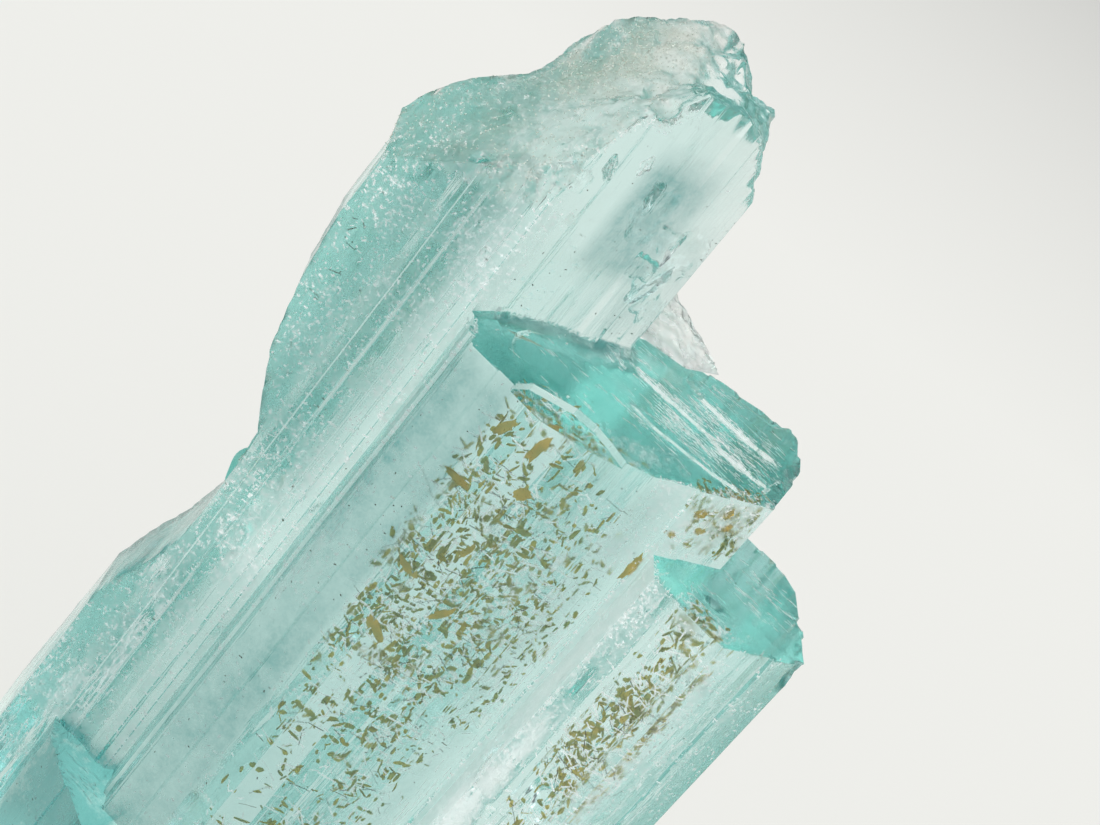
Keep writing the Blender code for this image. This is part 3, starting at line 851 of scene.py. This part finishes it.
def finish_at(kind, p, worn, riser):
    """What the materials and the strewn pieces read at a vertex, one value for each of FINISHES."""
    frost = frost_at(p) if kind == "prism" else slope_frost(p)
    pepper = max(0.0, noise.noise(p * 0.35) + 0.8 * noise.noise(p * 1.1))
    return {
        "frost": WORN_FROST if worn or riser else frost,
        "broken": 1.0 if kind in ("broken", "top") else 0.0,
        "stained": stain_at(p) if kind == "broken" else 0.0,
        # On a riser, a chipped or stepped face below the break, the deep tint is painted shade, mottled by
        # noise.
        "deep": 0.7 + 1.0 * noise.noise(p * 1.1) if riser else deep_at(p),
        "peppered": pepper if kind in ("prism", "top") else 0.0,
        "snowy": frost if kind == "broken" or kind == "prism" and not worn else 0.0,
    }


def dressed_cluster(look):
    """A fine copy of the cluster's solid with its growth lines, waves and broken grain."""
    bm = bmesh.new()
    bm.from_mesh(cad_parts[CLUSTER].data)
    bmesh.ops.remove_doubles(bm, verts=bm.verts, dist=SAME_PLACE)
    bmesh.ops.dissolve_limit(bm, angle_limit=math.radians(0.3), verts=bm.verts, edges=bm.edges)
    bm.normal_update()
    cut_fine(bm)
    bmesh.ops.remove_doubles(bm, verts=bm.verts, dist=SLIVER)
    bmesh.ops.triangulate(bm, faces=bm.faces)
    bm.normal_update()
    layers = {name: bm.verts.layers.float.new(name) for name in FINISHES}
    clear = {f for f in bm.faces if f.normal.dot(RIGHT_FACE) > SAME_FACE}
    noise.seed_set(SHARD_SEED)
    moves = {}
    for vert in bm.verts:
        p = vert.co / MM
        ups = [abs(f.normal.z) for f in vert.link_faces]
        kind = vertex_kind(p, ups)
        shift = relief_at("prism", p, look) * 0.5 if kind == "edge" else relief_at(kind, p, look)
        if kind == "broken" and not clear.isdisjoint(vert.link_faces):
            shift = 0.0  # the break meets the clear face in a plain line
        moves[vert] = vert.normal * (shift * MM)
        # Risers are the chip and step faces below the break; their darker teal tint, set below, is painted
        # shade.
        riser = kind == "broken" and p.z < BREAK_FROM and min(ups) < 0.9
        for name, value in finish_at(kind, p, on_worn_edge(vert, kind, p), riser).items():
            vert[layers[name]] = value
    for vert, move in moves.items():
        vert.co += move
        vert.co.z = max(vert.co.z, 0.0)
    add_cracks(bm)
    for face in bm.faces:
        middle = face.calc_center_median() / MM
        upright = face in clear or surface_kind(face) == "prism"
        face.smooth = upright or middle.z < BREAK_FROM or middle.x < SLOPE_TO
    mesh = finished(bm, "aquamarine_crystals")
    mesh.set_sharp_from_angle(angle=SHARP)
    return mesh


def dressed_quartz():
    """A fine copy of the quartz chip, broken in thin layers."""
    bm = bmesh.new()
    bm.from_mesh(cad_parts[QUARTZ].data)
    bmesh.ops.remove_doubles(bm, verts=bm.verts, dist=SAME_PLACE)
    floor = min(v.co.z for v in bm.verts)
    for _ in range(3):
        long_edges = [e for e in bm.edges if e.calc_length() > 0.12 * MM]
        bmesh.ops.subdivide_edges(bm, edges=long_edges, cuts=1, use_grid_fill=True)
        bmesh.ops.triangulate(bm, faces=bm.faces)
    bm.normal_update()
    moves = {}
    for vert in bm.verts:
        p = vert.co / MM
        lean = p.z * 2.6 + p.y * 1.1
        layer = math.floor(lean + 1.2 * noise.noise(p * 0.7)) % 2
        shift = -0.11 * layer - 0.1 * noise.noise(p * 2.4) - 0.08 * abs(noise.noise(p * 5.5))
        free = min(1.0, (vert.co.z - floor) / (0.15 * MM))
        moves[vert] = vert.normal * (shift * free * MM)
    for vert, move in moves.items():
        vert.co += move
    mesh = finished(bm, "quartz_chip_dressed")
    mesh.shade_smooth()
    mesh.set_sharp_from_angle(angle=CHIP_SHARP)
    return mesh


def solid_tree():
    """The cluster's solid as a search tree, to keep what lies inside it there."""
    bm = bmesh.new()
    bm.from_mesh(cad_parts[CLUSTER].data)
    tree = BVHTree.FromBMesh(bm)
    bm.free()
    return tree


SOLID = solid_tree()


def depth_inside(p):
    """How far inside the cluster's solid a place is; below 0 outside."""
    near, normal, _, gap = SOLID.find_nearest(p * MM)
    return gap / MM if (p * MM - near).dot(normal) < 0 else -gap / MM


def fine_rows(rows):
    """Rows of a zone with more set between them, and their ends as 2-D vectors."""
    made = []
    for (z, left, right, shares), (z2, left2, right2, shares2) in zip(rows, rows[1:]):
        count = max(1, int((z2 - z) / ROW_PITCH))
        for k in range(count):
            t = k / count
            between = [a + (b - a) * t for a, b in zip(shares, shares2)]
            ends = Vector(left).lerp(Vector(left2), t), Vector(right).lerp(Vector(right2), t)
            made.append((z + (z2 - z) * t, *ends, between))
    z, left, right, shares = rows[-1]
    made.append((z, Vector(left), Vector(right), shares))
    return made


def along(shares, t):
    """The value a share of the way along a list, with a straight line between its members."""
    place = t * (len(shares) - 1)
    i = min(int(place), len(shares) - 2)
    return shares[i] + (shares[i + 1] - shares[i]) * (place - i)


def add_zone(bm, rows):
    """An upright sheet through a zone, whose share of pieces gathers in clusters."""
    _, first, last, _ = rows[0]
    columns = max(3, int((Vector(last) - Vector(first)).length / COLUMN_PITCH))
    rows = fine_rows(rows)

    def spot(i, j):
        z, left, right, shares = rows[j]
        x, y = left.lerp(right, i / columns)
        gather = 1 + 1.9 * flat_noise(x * 0.8, y * 0.8, z * 0.55)
        p = Vector((x, y, z))
        return p, max(0.0, along(shares, i / columns) * gather) if depth_inside(p) > 0.3 else 0.0

    add_sheet(bm, columns, len(rows) - 1, spot)


def under_skin(bm, attribute, low, depth):
    """The crystals' own skin, moved in by a depth, with a share of pieces where the attribute is over low."""
    bm.from_mesh(bpy.data.objects["aquamarine_crystals"].data)
    share = bm.verts.layers.float.new("share")
    value = bm.verts.layers.float[attribute]
    for vert in bm.verts:
        vert[share] = max(0.0, vert[value] - low) if vert.co.z > 1.2 * MM else 0.0
        vert.co -= vert.normal * (depth * MM)


def veil_share(p, u, v, streaky, seed):
    """How dense a veil is at a place on it, from 0 to 1."""
    if streaky:
        cloud = flat_noise(p.x * 1.5 + seed, p.y * 1.5, p.z * 0.12) * 1.7 + 0.1
    else:
        cloud = flat_noise(p.x * 0.42, p.y * 0.42 + seed, p.z * 0.3) * 1.3 + 0.25
        cloud += flat_noise(p.x * 1.4, p.y * 1.4, p.z * 0.9 + seed) * 0.8
    rim = min(u, 1 - u, 0.5) * 6 + 0.6 * noise.noise(p * 0.9)
    end = min(v, 1 - v, 0.5) * 10 + 0.6 * noise.noise(p * 0.7)
    return held(cloud) * held(rim) * held(end)


def add_veil(bm, corner, across, up, strength, streaky, seed):
    """A wavy sheet from a corner, with the share of splinters at each point."""
    wide, high = VEIL_PITCH
    columns, rows = max(3, int(across.length / wide)), max(3, int(up.length / high))
    normal = across.cross(up).normalized()

    def spot(i, j):
        u, v = i / columns, j / rows
        p = corner + across * u + up * v
        p += normal * flat_noise(p.x * 0.35 + seed, p.y * 0.35, p.z * 0.16) * 0.35
        return p, strength * veil_share(p, u, v, streaky, seed) if depth_inside(p) > 0.5 else 0.0

    add_sheet(bm, columns, rows, spot)


def add_veils(bm, streaky):
    """The veils of one kind."""
    for seed, (start, end, low, high, strength, kind) in enumerate(VEILS):
        if kind == streaky:
            across = Vector((end[0] - start[0], end[1] - start[1], 0))
            up = Vector((0, 0, high - low))
            add_veil(bm, Vector((*start, low)), across, up, strength, streaky, seed * 7.3)


def add_streaks(bm):
    """Level sheets just under the flat tops, streaked across them."""
    columns, rows = 24, 60
    for x, y, z, half_length, half_width, strength in TOP_STREAKS:

        def spot(i, j):
            u, v = 2 * i / columns - 1, 2 * j / rows - 1
            p = Vector((x, y, z)) + STREAK_WAY * half_length * u + STREAK_SIDE * half_width * v
            streak = flat_noise(p.dot(STREAK_WAY) * 0.35, p.dot(STREAK_SIDE) * 2.3, z) * 1.5 + 0.05
            return p, strength * held(streak) * (max(0.0, 1 - u * u) * max(0.0, 1 - v * v))

        add_sheet(bm, columns, rows, spot)


def scatter_tree(name):
    """Strews ragged flat pieces through a zone: the tree that makes flakes, needles, splinters and grains.

    Depth is how far inside the Body's surface a piece keeps; below 0 it may lie that far outside.
    """
    tree = bpy.data.node_groups.new(name, "GeometryNodeTree")
    tree.interface.new_socket("Geometry", in_out="OUTPUT", socket_type="NodeSocketGeometry")
    sockets = {
        "Geometry": ["Zone"], "Object": ["Body"], "Material": ["Material"], "Int": ["Corners", "Seed"],
        "Vector": ["Spread", "Smallest", "Largest", "Turn from", "Turn to"],
        "Float": ["Density", "Depth", "Ragged"],
    }
    for kind, names in sockets.items():
        for socket in names:
            tree.interface.new_socket(socket, in_out="INPUT", socket_type="NodeSocket" + kind)
    s = Nodes(tree)
    into = tree.nodes.new("NodeGroupInput").outputs

    def random_vector(low, high, offset):
        seed = s.math("ADD", into["Seed"], offset)
        return s.add("FunctionNodeRandomValue", VECTORS, Min=low, Max=high, Seed=seed).outputs[0]

    # Points on the zone, as many as its share says, moved off it by chance.
    share = s.add("GeometryNodeInputNamedAttribute", {"data_type": "FLOAT"}, Name="share")
    density = s.math("MULTIPLY", into["Density"], share.outputs["Attribute"])
    points = s.add(
        "GeometryNodeDistributePointsOnFaces", Mesh=into["Zone"], Density=density, Seed=into["Seed"],
    ).outputs["Points"]
    offset = random_vector(s.vector_math("SCALE", into["Spread"], -1.0), into["Spread"], 1)
    points = s.add("GeometryNodeSetPosition", Geometry=points, Offset=offset).outputs["Geometry"]
    # Those that aren't deep enough inside the body are dropped.
    body = s.add("GeometryNodeObjectInfo", Object=into["Body"]).outputs["Geometry"]
    near = s.add("GeometryNodeProximity", {"target_element": "FACES"})
    s.set(near, 0, body)
    facing = s.add("GeometryNodeInputNormal").outputs[0]
    way_out = s.add("GeometryNodeSampleNearestSurface", VECTORS, Mesh=body, Value=facing).outputs["Value"]
    gap = s.vector_math("SUBTRACT", s.add("GeometryNodeInputPosition").outputs[0], near.outputs["Position"])
    too_shallow = s.math("ADD", s.vector_math("DOT_PRODUCT", gap, way_out), into["Depth"])
    outside = s.math("GREATER_THAN", too_shallow, 0.0)
    points = s.add("GeometryNodeDeleteGeometry", Geometry=points, Selection=outside).outputs["Geometry"]
    # A flat piece on each, turned and sized by chance, its corners pulled about.
    piece = s.add("GeometryNodeMeshCylinder", Vertices=into["Corners"], Radius=0.5, Depth=1.0).outputs["Mesh"]
    pieces = s.add(
        "GeometryNodeInstanceOnPoints", Points=points, Instance=piece,
        Rotation=random_vector(into["Turn from"], into["Turn to"], 2),
        Scale=random_vector(into["Smallest"], into["Largest"], 3),
    ).outputs["Instances"]
    pieces = s.add("GeometryNodeRealizeInstances", Geometry=pieces).outputs["Geometry"]
    wander = s.add("ShaderNodeTexNoise", Scale=2600.0).outputs["Color"]
    pull = s.vector_math("SCALE", s.vector_math("SUBTRACT", wander, (0.5, 0.5, 0.5)), into["Ragged"])
    pieces = s.add("GeometryNodeSetPosition", Geometry=pieces, Offset=pull).outputs["Geometry"]
    done = s.add("GeometryNodeSetMaterial", Geometry=pieces, Material=into["Material"])
    s.set(tree.nodes.new("NodeGroupOutput"), "Geometry", done.outputs["Geometry"])
    return tree


def strewn(name, build, slot="quartz", **values):
    """A plain mesh of pieces, strewn by scatter_tree over what build(bm) makes."""
    values = {"Body": bpy.data.objects["aquamarine_crystals"], "Depth": 0.25, **values}
    for key in ("Depth", "Ragged"):
        values[key] *= MM
    for key in ("Spread", "Smallest", "Largest"):
        values[key] = tuple(size * MM for size in values[key])
    tree = bpy.data.node_groups.get("strewn pieces") or scatter_tree("strewn pieces")
    bm = bmesh.new()
    build(bm)
    obj = link(finished(bm, name))
    modifier = obj.modifiers.new("Strew", "NODES")
    modifier.node_group = tree
    for item in tree.interface.items_tree:
        if item.in_out == "INPUT" and item.name in values:
            modifier[item.identifier] = values[item.name]
    evaluated = obj.evaluated_get(bpy.context.evaluated_depsgraph_get())
    mesh = bpy.data.meshes.new_from_object(evaluated)
    obj.modifiers.clear()
    obj.data = mesh
    mesh.name = name
    ride(obj)


def ride(obj):
    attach(obj, "root")


# ---------------------------------------------------------------- operators


class AQUA_OT_crystals(bpy.types.Operator):
    """Makes the clear crystals with their growth lines and broken top"""

    bl_idname = "aqua.crystals"
    bl_label = "Crystals"

    def execute(self, context):
        look = context.scene.aqua_crystal
        obj = link(dressed_cluster(look), beryl_material(look))
        ride(obj)
        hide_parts(CLUSTER)
        return {"FINISHED"}


class AQUA_OT_quartz(bpy.types.Operator):
    """Makes the layered quartz chip"""

    bl_idname = "aqua.quartz"
    bl_label = "Quartz chip"

    def execute(self, context):
        obj = link(dressed_quartz(), quartz_material())
        ride(obj)
        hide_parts(QUARTZ)
        return {"FINISHED"}


class AQUA_OT_flakes(bpy.types.Operator):
    """Strews golden and olive mica flakes through the crystals"""

    bl_idname = "aqua.flakes"
    bl_label = "Mica flakes"

    def execute(self, context):
        look = context.scene.aqua_inside
        small, large = look.flake_small / MM, look.flake_large / MM
        settings = {
            "slot": "aquamarine", "Corners": 7, "Ragged": 0.22, **ANY_WAY,
            "Smallest": (small, small * 0.6, 0.03), "Largest": (large, large * 0.36, 0.07),
            "Material": flake_material("mica", look.gold, look.olive),
        }
        strews = (
            ("mica_flakes_main", MAIN_ZONE, 1.0, (0.5, 1.4, 0.5)),
            ("mica_flakes_front", FRONT_ZONE, 1.15, (0.3, 0.9, 0.5)),
            ("mica_flakes_right", RIGHT_ZONE, 1.3, (0.4, 0.3, 0.3)),
        )
        for i, (name, rows, share, spread) in enumerate(strews):
            strewn(
                name, lambda bm, rows=rows: add_zone(bm, rows), Density=look.flakes * share, Spread=spread,
                Seed=look.seed + 20 * i, **settings,
            )
        self.large_flakes()
        return {"FINISHED"}

    def large_flakes(self):
        bm = bmesh.new()
        rng = random.Random(11)
        for x, y, z, length, width, lean in LARGE_FLAKES:
            turn = Matrix.Rotation(math.radians(lean), 3, "Y")
            turn = turn @ Matrix.Rotation(rng.uniform(-0.5, 0.5), 3, "Z")
            rings = []
            for side in (-FLAKE_THICKNESS / 2, FLAKE_THICKNESS / 2):
                ring = []
                for i in range(FLAKE_CORNERS):
                    angle = math.tau * i / FLAKE_CORNERS
                    wobble = 1 + 0.55 * flat_noise(math.cos(angle) * 2.4 + x, math.sin(angle) * 2.4 + z)
                    across, up = math.cos(angle) * width / 2 * wobble, math.sin(angle) * length / 2 * wobble
                    ring.append(bm.verts.new((Vector((x, y, z)) + turn @ Vector((across, side, up))) * MM))
                rings.append(ring)
            for i in range(FLAKE_CORNERS):
                j = (i + 1) % FLAKE_CORNERS
                bm.faces.new((rings[0][i], rings[0][j], rings[1][j], rings[1][i]))
            bm.faces.new(list(reversed(rings[0])))
            bm.faces.new(rings[1])
        bmesh.ops.recalc_face_normals(bm, faces=bm.faces)
        material = flake_material("golden mica", (0.95, 0.68, 0.2), (0.66, 0.58, 0.2))
        ride(link(finished(bm, "mica_flakes_large"), material))


def flake_zones(bm):
    """Both large flake zones, which the needles and the white feathers share."""
    add_zone(bm, MAIN_ZONE)
    add_zone(bm, FRONT_ZONE)


class AQUA_OT_needles(bpy.types.Operator):
    """Strews dark needles through the crystals, and dark specks under their faces"""

    bl_idname = "aqua.needles"
    bl_label = "Dark needles"

    def execute(self, context):
        look = context.scene.aqua_inside
        settings = {
            "slot": "aquamarine", **ANY_WAY, "Corners": 5, "Ragged": 0.08,
            "Material": plain_material("dark needle", (0.1, 0.1, 0.055), 0.35),
        }
        strewn(
            "dark_needles", flake_zones, Density=look.flakes * 0.24, Spread=(0.7, 1.4, 1.0),
            Smallest=(0.02, 0.02, 0.3), Largest=(0.05, 0.05, 1.5), Seed=look.seed + 60, **settings,
        )
        strewn(
            "dark_specks", lambda bm: under_skin(bm, "peppered", 0.0, 0.12), Density=1.6e6, Depth=0.09,
            Spread=(0.1, 0.1, 0.1), Smallest=(0.03, 0.03, 0.03),
            Largest=(0.09, 0.08, 0.14), Seed=look.seed + 65, **settings,
        )
        strewn(
            "dark_needles_left", lambda bm: add_zone(bm, LEFT_ZONE), Density=7e5, Spread=(0.2, 0.2, 0.4),
            Smallest=(0.02, 0.02, 0.3), Largest=(0.06, 0.06, 1.1), Seed=look.seed + 70, **settings,
        )
        return {"FINISHED"}


class AQUA_OT_veils(bpy.types.Operator):
    """Fills the frosted, cloudy and streaked parts with fine white splinters"""

    bl_idname = "aqua.veils"
    bl_label = "White veils"

    def execute(self, context):
        look = context.scene.aqua_inside
        # The white splinters glow a little: painted light.
        splinter = plain_material("white splinter", look.milk, 0.45, look.scatter)
        common = {"Corners": 3, "Ragged": 0.1, "Material": splinter}
        strewn(
            "white_clouds", lambda bm: add_veils(bm, False), Density=look.splinters, Spread=(0.1, 0.25, 0.4),
            Smallest=(0.04, 0.03, 0.05), Largest=(0.18, 0.07, 0.3), **ANY_WAY,
            Seed=look.seed + 80, **common,
        )
        strewn(
            "white_streaks", lambda bm: add_veils(bm, True), Density=look.splinters, Spread=(0.1, 0.25, 0.4),
            Smallest=(0.03, 0.02, 0.15), Largest=(0.09, 0.04, 1.1), Seed=look.seed + 80,
            **{"Turn from": (-0.12, -0.12, 0.0), "Turn to": (0.12, 0.12, math.tau)}, **common,
        )
        strewn(
            "white_feathers", flake_zones, Density=look.splinters * 0.2, Spread=(0.6, 1.3, 0.6),
            Smallest=(0.04, 0.04, 0.2), Largest=(0.12, 0.14, 1.2), **ANY_WAY,
            Seed=look.seed + 90, **common,
        )
        across_tops = {
            "Turn from": (-0.1, math.pi / 2 - 0.08, STREAK_TURN - 0.3),
            "Turn to": (0.1, math.pi / 2 + 0.08, STREAK_TURN + 0.3),
        }
        strewn(
            "growth_streaks", add_streaks, Density=look.splinters * 1.5, Spread=(0.3, 0.15, 0.1),
            Depth=0.07, Smallest=(0.03, 0.02, 0.08), Largest=(0.09, 0.05, 0.8),
            Seed=look.seed + 95, **across_tops, **common,
        )
        return {"FINISHED"}


class AQUA_OT_frost(bpy.types.Operator):
    """Sets fine white splinters just under the frosted faces and the sloping end"""

    bl_idname = "aqua.frost"
    bl_label = "Frost"

    def execute(self, context):
        look = context.scene.aqua_inside
        # These white splinters glow a little too: painted light.
        strewn(
            "white_frost", lambda bm: under_skin(bm, "snowy", 0.3, 0.3), Density=look.splinters * 1.3,
            Depth=0.17, Spread=(0.09, 0.09, 0.4), Seed=look.seed + 100, Corners=3, Ragged=0.1,
            Smallest=(0.04, 0.03, 0.05), Largest=(0.17, 0.07, 0.28), **ANY_WAY,
            Material=plain_material("white frost", look.milk, 0.5, look.scatter),
        )
        return {"FINISHED"}


class AQUA_OT_crust(bpy.types.Operator):
    """Sets beige grains on the tall crystal's broken end"""

    bl_idname = "aqua.crust"
    bl_label = "Crust"

    def execute(self, context):
        look = context.scene.aqua_inside
        # The beige grains glow faintly: painted light, though they are no lamp.
        strewn(
            "beige_crust", lambda bm: under_skin(bm, "stained", 0.16, 0.03), Density=look.splinters * 2.2,
            Depth=-0.12, Spread=(0.1, 0.1, 0.03), Seed=look.seed + 110, Corners=6, Ragged=0.05,
            Smallest=(0.04, 0.03, 0.03), Largest=(0.1, 0.08, 0.06), **ANY_WAY,
            Material=plain_material("beige grain", (0.66, 0.7, 0.62), 0.6, 0.03),
        )
        return {"FINISHED"}


class AQUA_OT_bubbles(bpy.types.Operator):
    """Threads lines of tiny bubbles up the crystals"""

    bl_idname = "aqua.bubbles"
    bl_label = "Bubbles"

    def execute(self, context):
        rng = random.Random(5)
        bm = bmesh.new()
        for start, end, count, wander in BUBBLE_LINES:
            for i in range(count):
                spot = Vector(start).lerp(Vector(end), (i + rng.random()) / count)
                spot += Vector((rng.uniform(-1, 1), rng.uniform(-1, 1), rng.uniform(-1, 1))) * wander
                size = rng.uniform(0.02, 0.06)
                long = rng.uniform(1.0, 2.4)
                shape = Matrix.Diagonal((size * MM, size * MM, size * long * MM, 1))
                place = Matrix.Translation(spot * MM) @ shape
                bmesh.ops.create_icosphere(bm, subdivisions=1, radius=1.0, matrix=place)
        mesh = finished(bm, "bubble_lines")
        mesh.shade_smooth()
        ride(link(mesh, plain_material("bubble", (0.95, 0.97, 0.96), 0.3)))
        return {"FINISHED"}


class AQUA_OT_stage(bpy.types.Operator):
    """Makes the pale floor, the light and the camera"""

    bl_idname = "aqua.stage"
    bl_label = "Stage"

    def execute(self, context):
        look = context.scene.aqua_stage
        self.floor(look)
        self.world(look)
        self.camera()
        context.scene.view_settings.view_transform = "Standard"
        cycles = context.scene.cycles
        cycles.max_bounces = cycles.transmission_bounces = 12
        cycles.glossy_bounces = 8
        cycles.diffuse_bounces = 2
        return {"FINISHED"}

    def floor(self, look):
        bm = bmesh.new()
        bmesh.ops.create_grid(bm, x_segments=2, y_segments=2, size=6.0)
        material, shader, s = new_material("pale floor")
        place = s.add("ShaderNodeTexCoord").outputs["Object"]
        # The floor's glow fades farther behind.
        far = s.remap(s.add("ShaderNodeSeparateXYZ", Vector=place).outputs["Y"], 0.2, 0.6, 1.0, 0.62)
        # Painted light: a pool where the floor glows nearly twice as bright round and under the crystal's
        # foot, mostly hidden by it.
        under = s.remap(s.vector_math("LENGTH", s.scaled(place, (0.66, 1.0, 1.0))), 0.006, 0.0118, 1.95, 1.0)
        s.fill(
            shader, Base_Color=look.floor, Roughness=0.9, Specular_IOR_Level=0.1,
            Emission_Color=(1.0, 1.0, 0.95),
            Emission_Strength=s.math("MULTIPLY", s.math("MULTIPLY", far, under), look.glow),
        )
        material.cycles.emission_sampling = "NONE"
        floor = link(finished(bm, "floor"), material)
        floor.location.z = -0.00005

    def world(self, look):
        world = bpy.data.worlds.new("studio")
        bpy.context.scene.world = world
        world.use_nodes = True
        world.cycles.sampling_method = "NONE"  # the sky is smooth, so rays find it well by themselves
        s = Nodes(world.node_tree)
        way = s.add("ShaderNodeTexCoord").outputs["Generated"]
        split = s.add("ShaderNodeSeparateXYZ", Vector=way).outputs
        near_horizon = s.remap(split["Z"], 0.1, 0.3, 0.68, 0.2)
        overhead = s.remap(split["Z"], 0.5, 0.8, 0.0, look.overhead)
        in_front = s.remap(split["Y"], -0.15, -0.75, 0.0, look.front)
        strength = s.math("ADD", near_horizon, s.math("ADD", overhead, in_front))
        s.fill(world.node_tree.nodes["Background"], Color=(0.97, 0.985, 1.0), Strength=strength)

    def camera(self):
        data = bpy.data.cameras.new("camera")
        data.sensor_width, data.sensor_fit, data.lens = 36.0, "HORIZONTAL", 81.8
        data.clip_start, data.clip_end = 0.01, 30.0
        camera = bpy.data.objects.new("camera", data)
        bpy.context.scene.collection.objects.link(camera)
        right, up = Vector((0.7712, 0.2589, 0.5816)), Vector((-0.6366, 0.3137, 0.7045))
        behind = Vector((0, -0.9135, 0.4067))
        turn = Matrix((right, up, behind)).transposed()
        camera.matrix_world = Matrix.Translation((-0.002, -0.12643, 0.10406)) @ turn.to_4x4()
        bpy.context.scene.camera = camera


class AQUA_PT_panel(bpy.types.Panel):
    """Lists the steps that build the cluster"""

    bl_idname = "AQUA_PT_panel"
    bl_label = "Aquamarine cluster"
    bl_space_type = "VIEW_3D"
    bl_region_type = "UI"
    bl_category = "Aquamarine"

    def draw(self, context):
        scene = context.scene
        for group in (scene.aqua_crystal, scene.aqua_inside, scene.aqua_stage):
            box = self.layout.box()
            for name in group.__annotations__:
                box.prop(group, name)
        for step in STEPS:
            self.layout.operator(step.bl_idname)


STEPS = (
    AQUA_OT_stage, AQUA_OT_crystals, AQUA_OT_quartz, AQUA_OT_flakes, AQUA_OT_needles, AQUA_OT_veils,
    AQUA_OT_frost, AQUA_OT_crust, AQUA_OT_bubbles,
)
SETTINGS = {"aqua_crystal": CrystalSettings, "aqua_inside": InsideSettings, "aqua_stage": StageSettings}


def register():
    for name, group in SETTINGS.items():
        bpy.utils.register_class(group)
        setattr(bpy.types.Scene, name, PointerProperty(type=group))
    for cls in (*STEPS, AQUA_PT_panel):
        bpy.utils.register_class(cls)


def unregister():
    for cls in reversed((*STEPS, AQUA_PT_panel)):
        bpy.utils.unregister_class(cls)
    for name, group in SETTINGS.items():
        delattr(bpy.types.Scene, name)
        bpy.utils.unregister_class(group)


def main():
    register()
    for step in STEPS:
        getattr(bpy.ops.aqua, step.bl_idname.split(".")[1])()


if __name__ == "__main__":
    main()
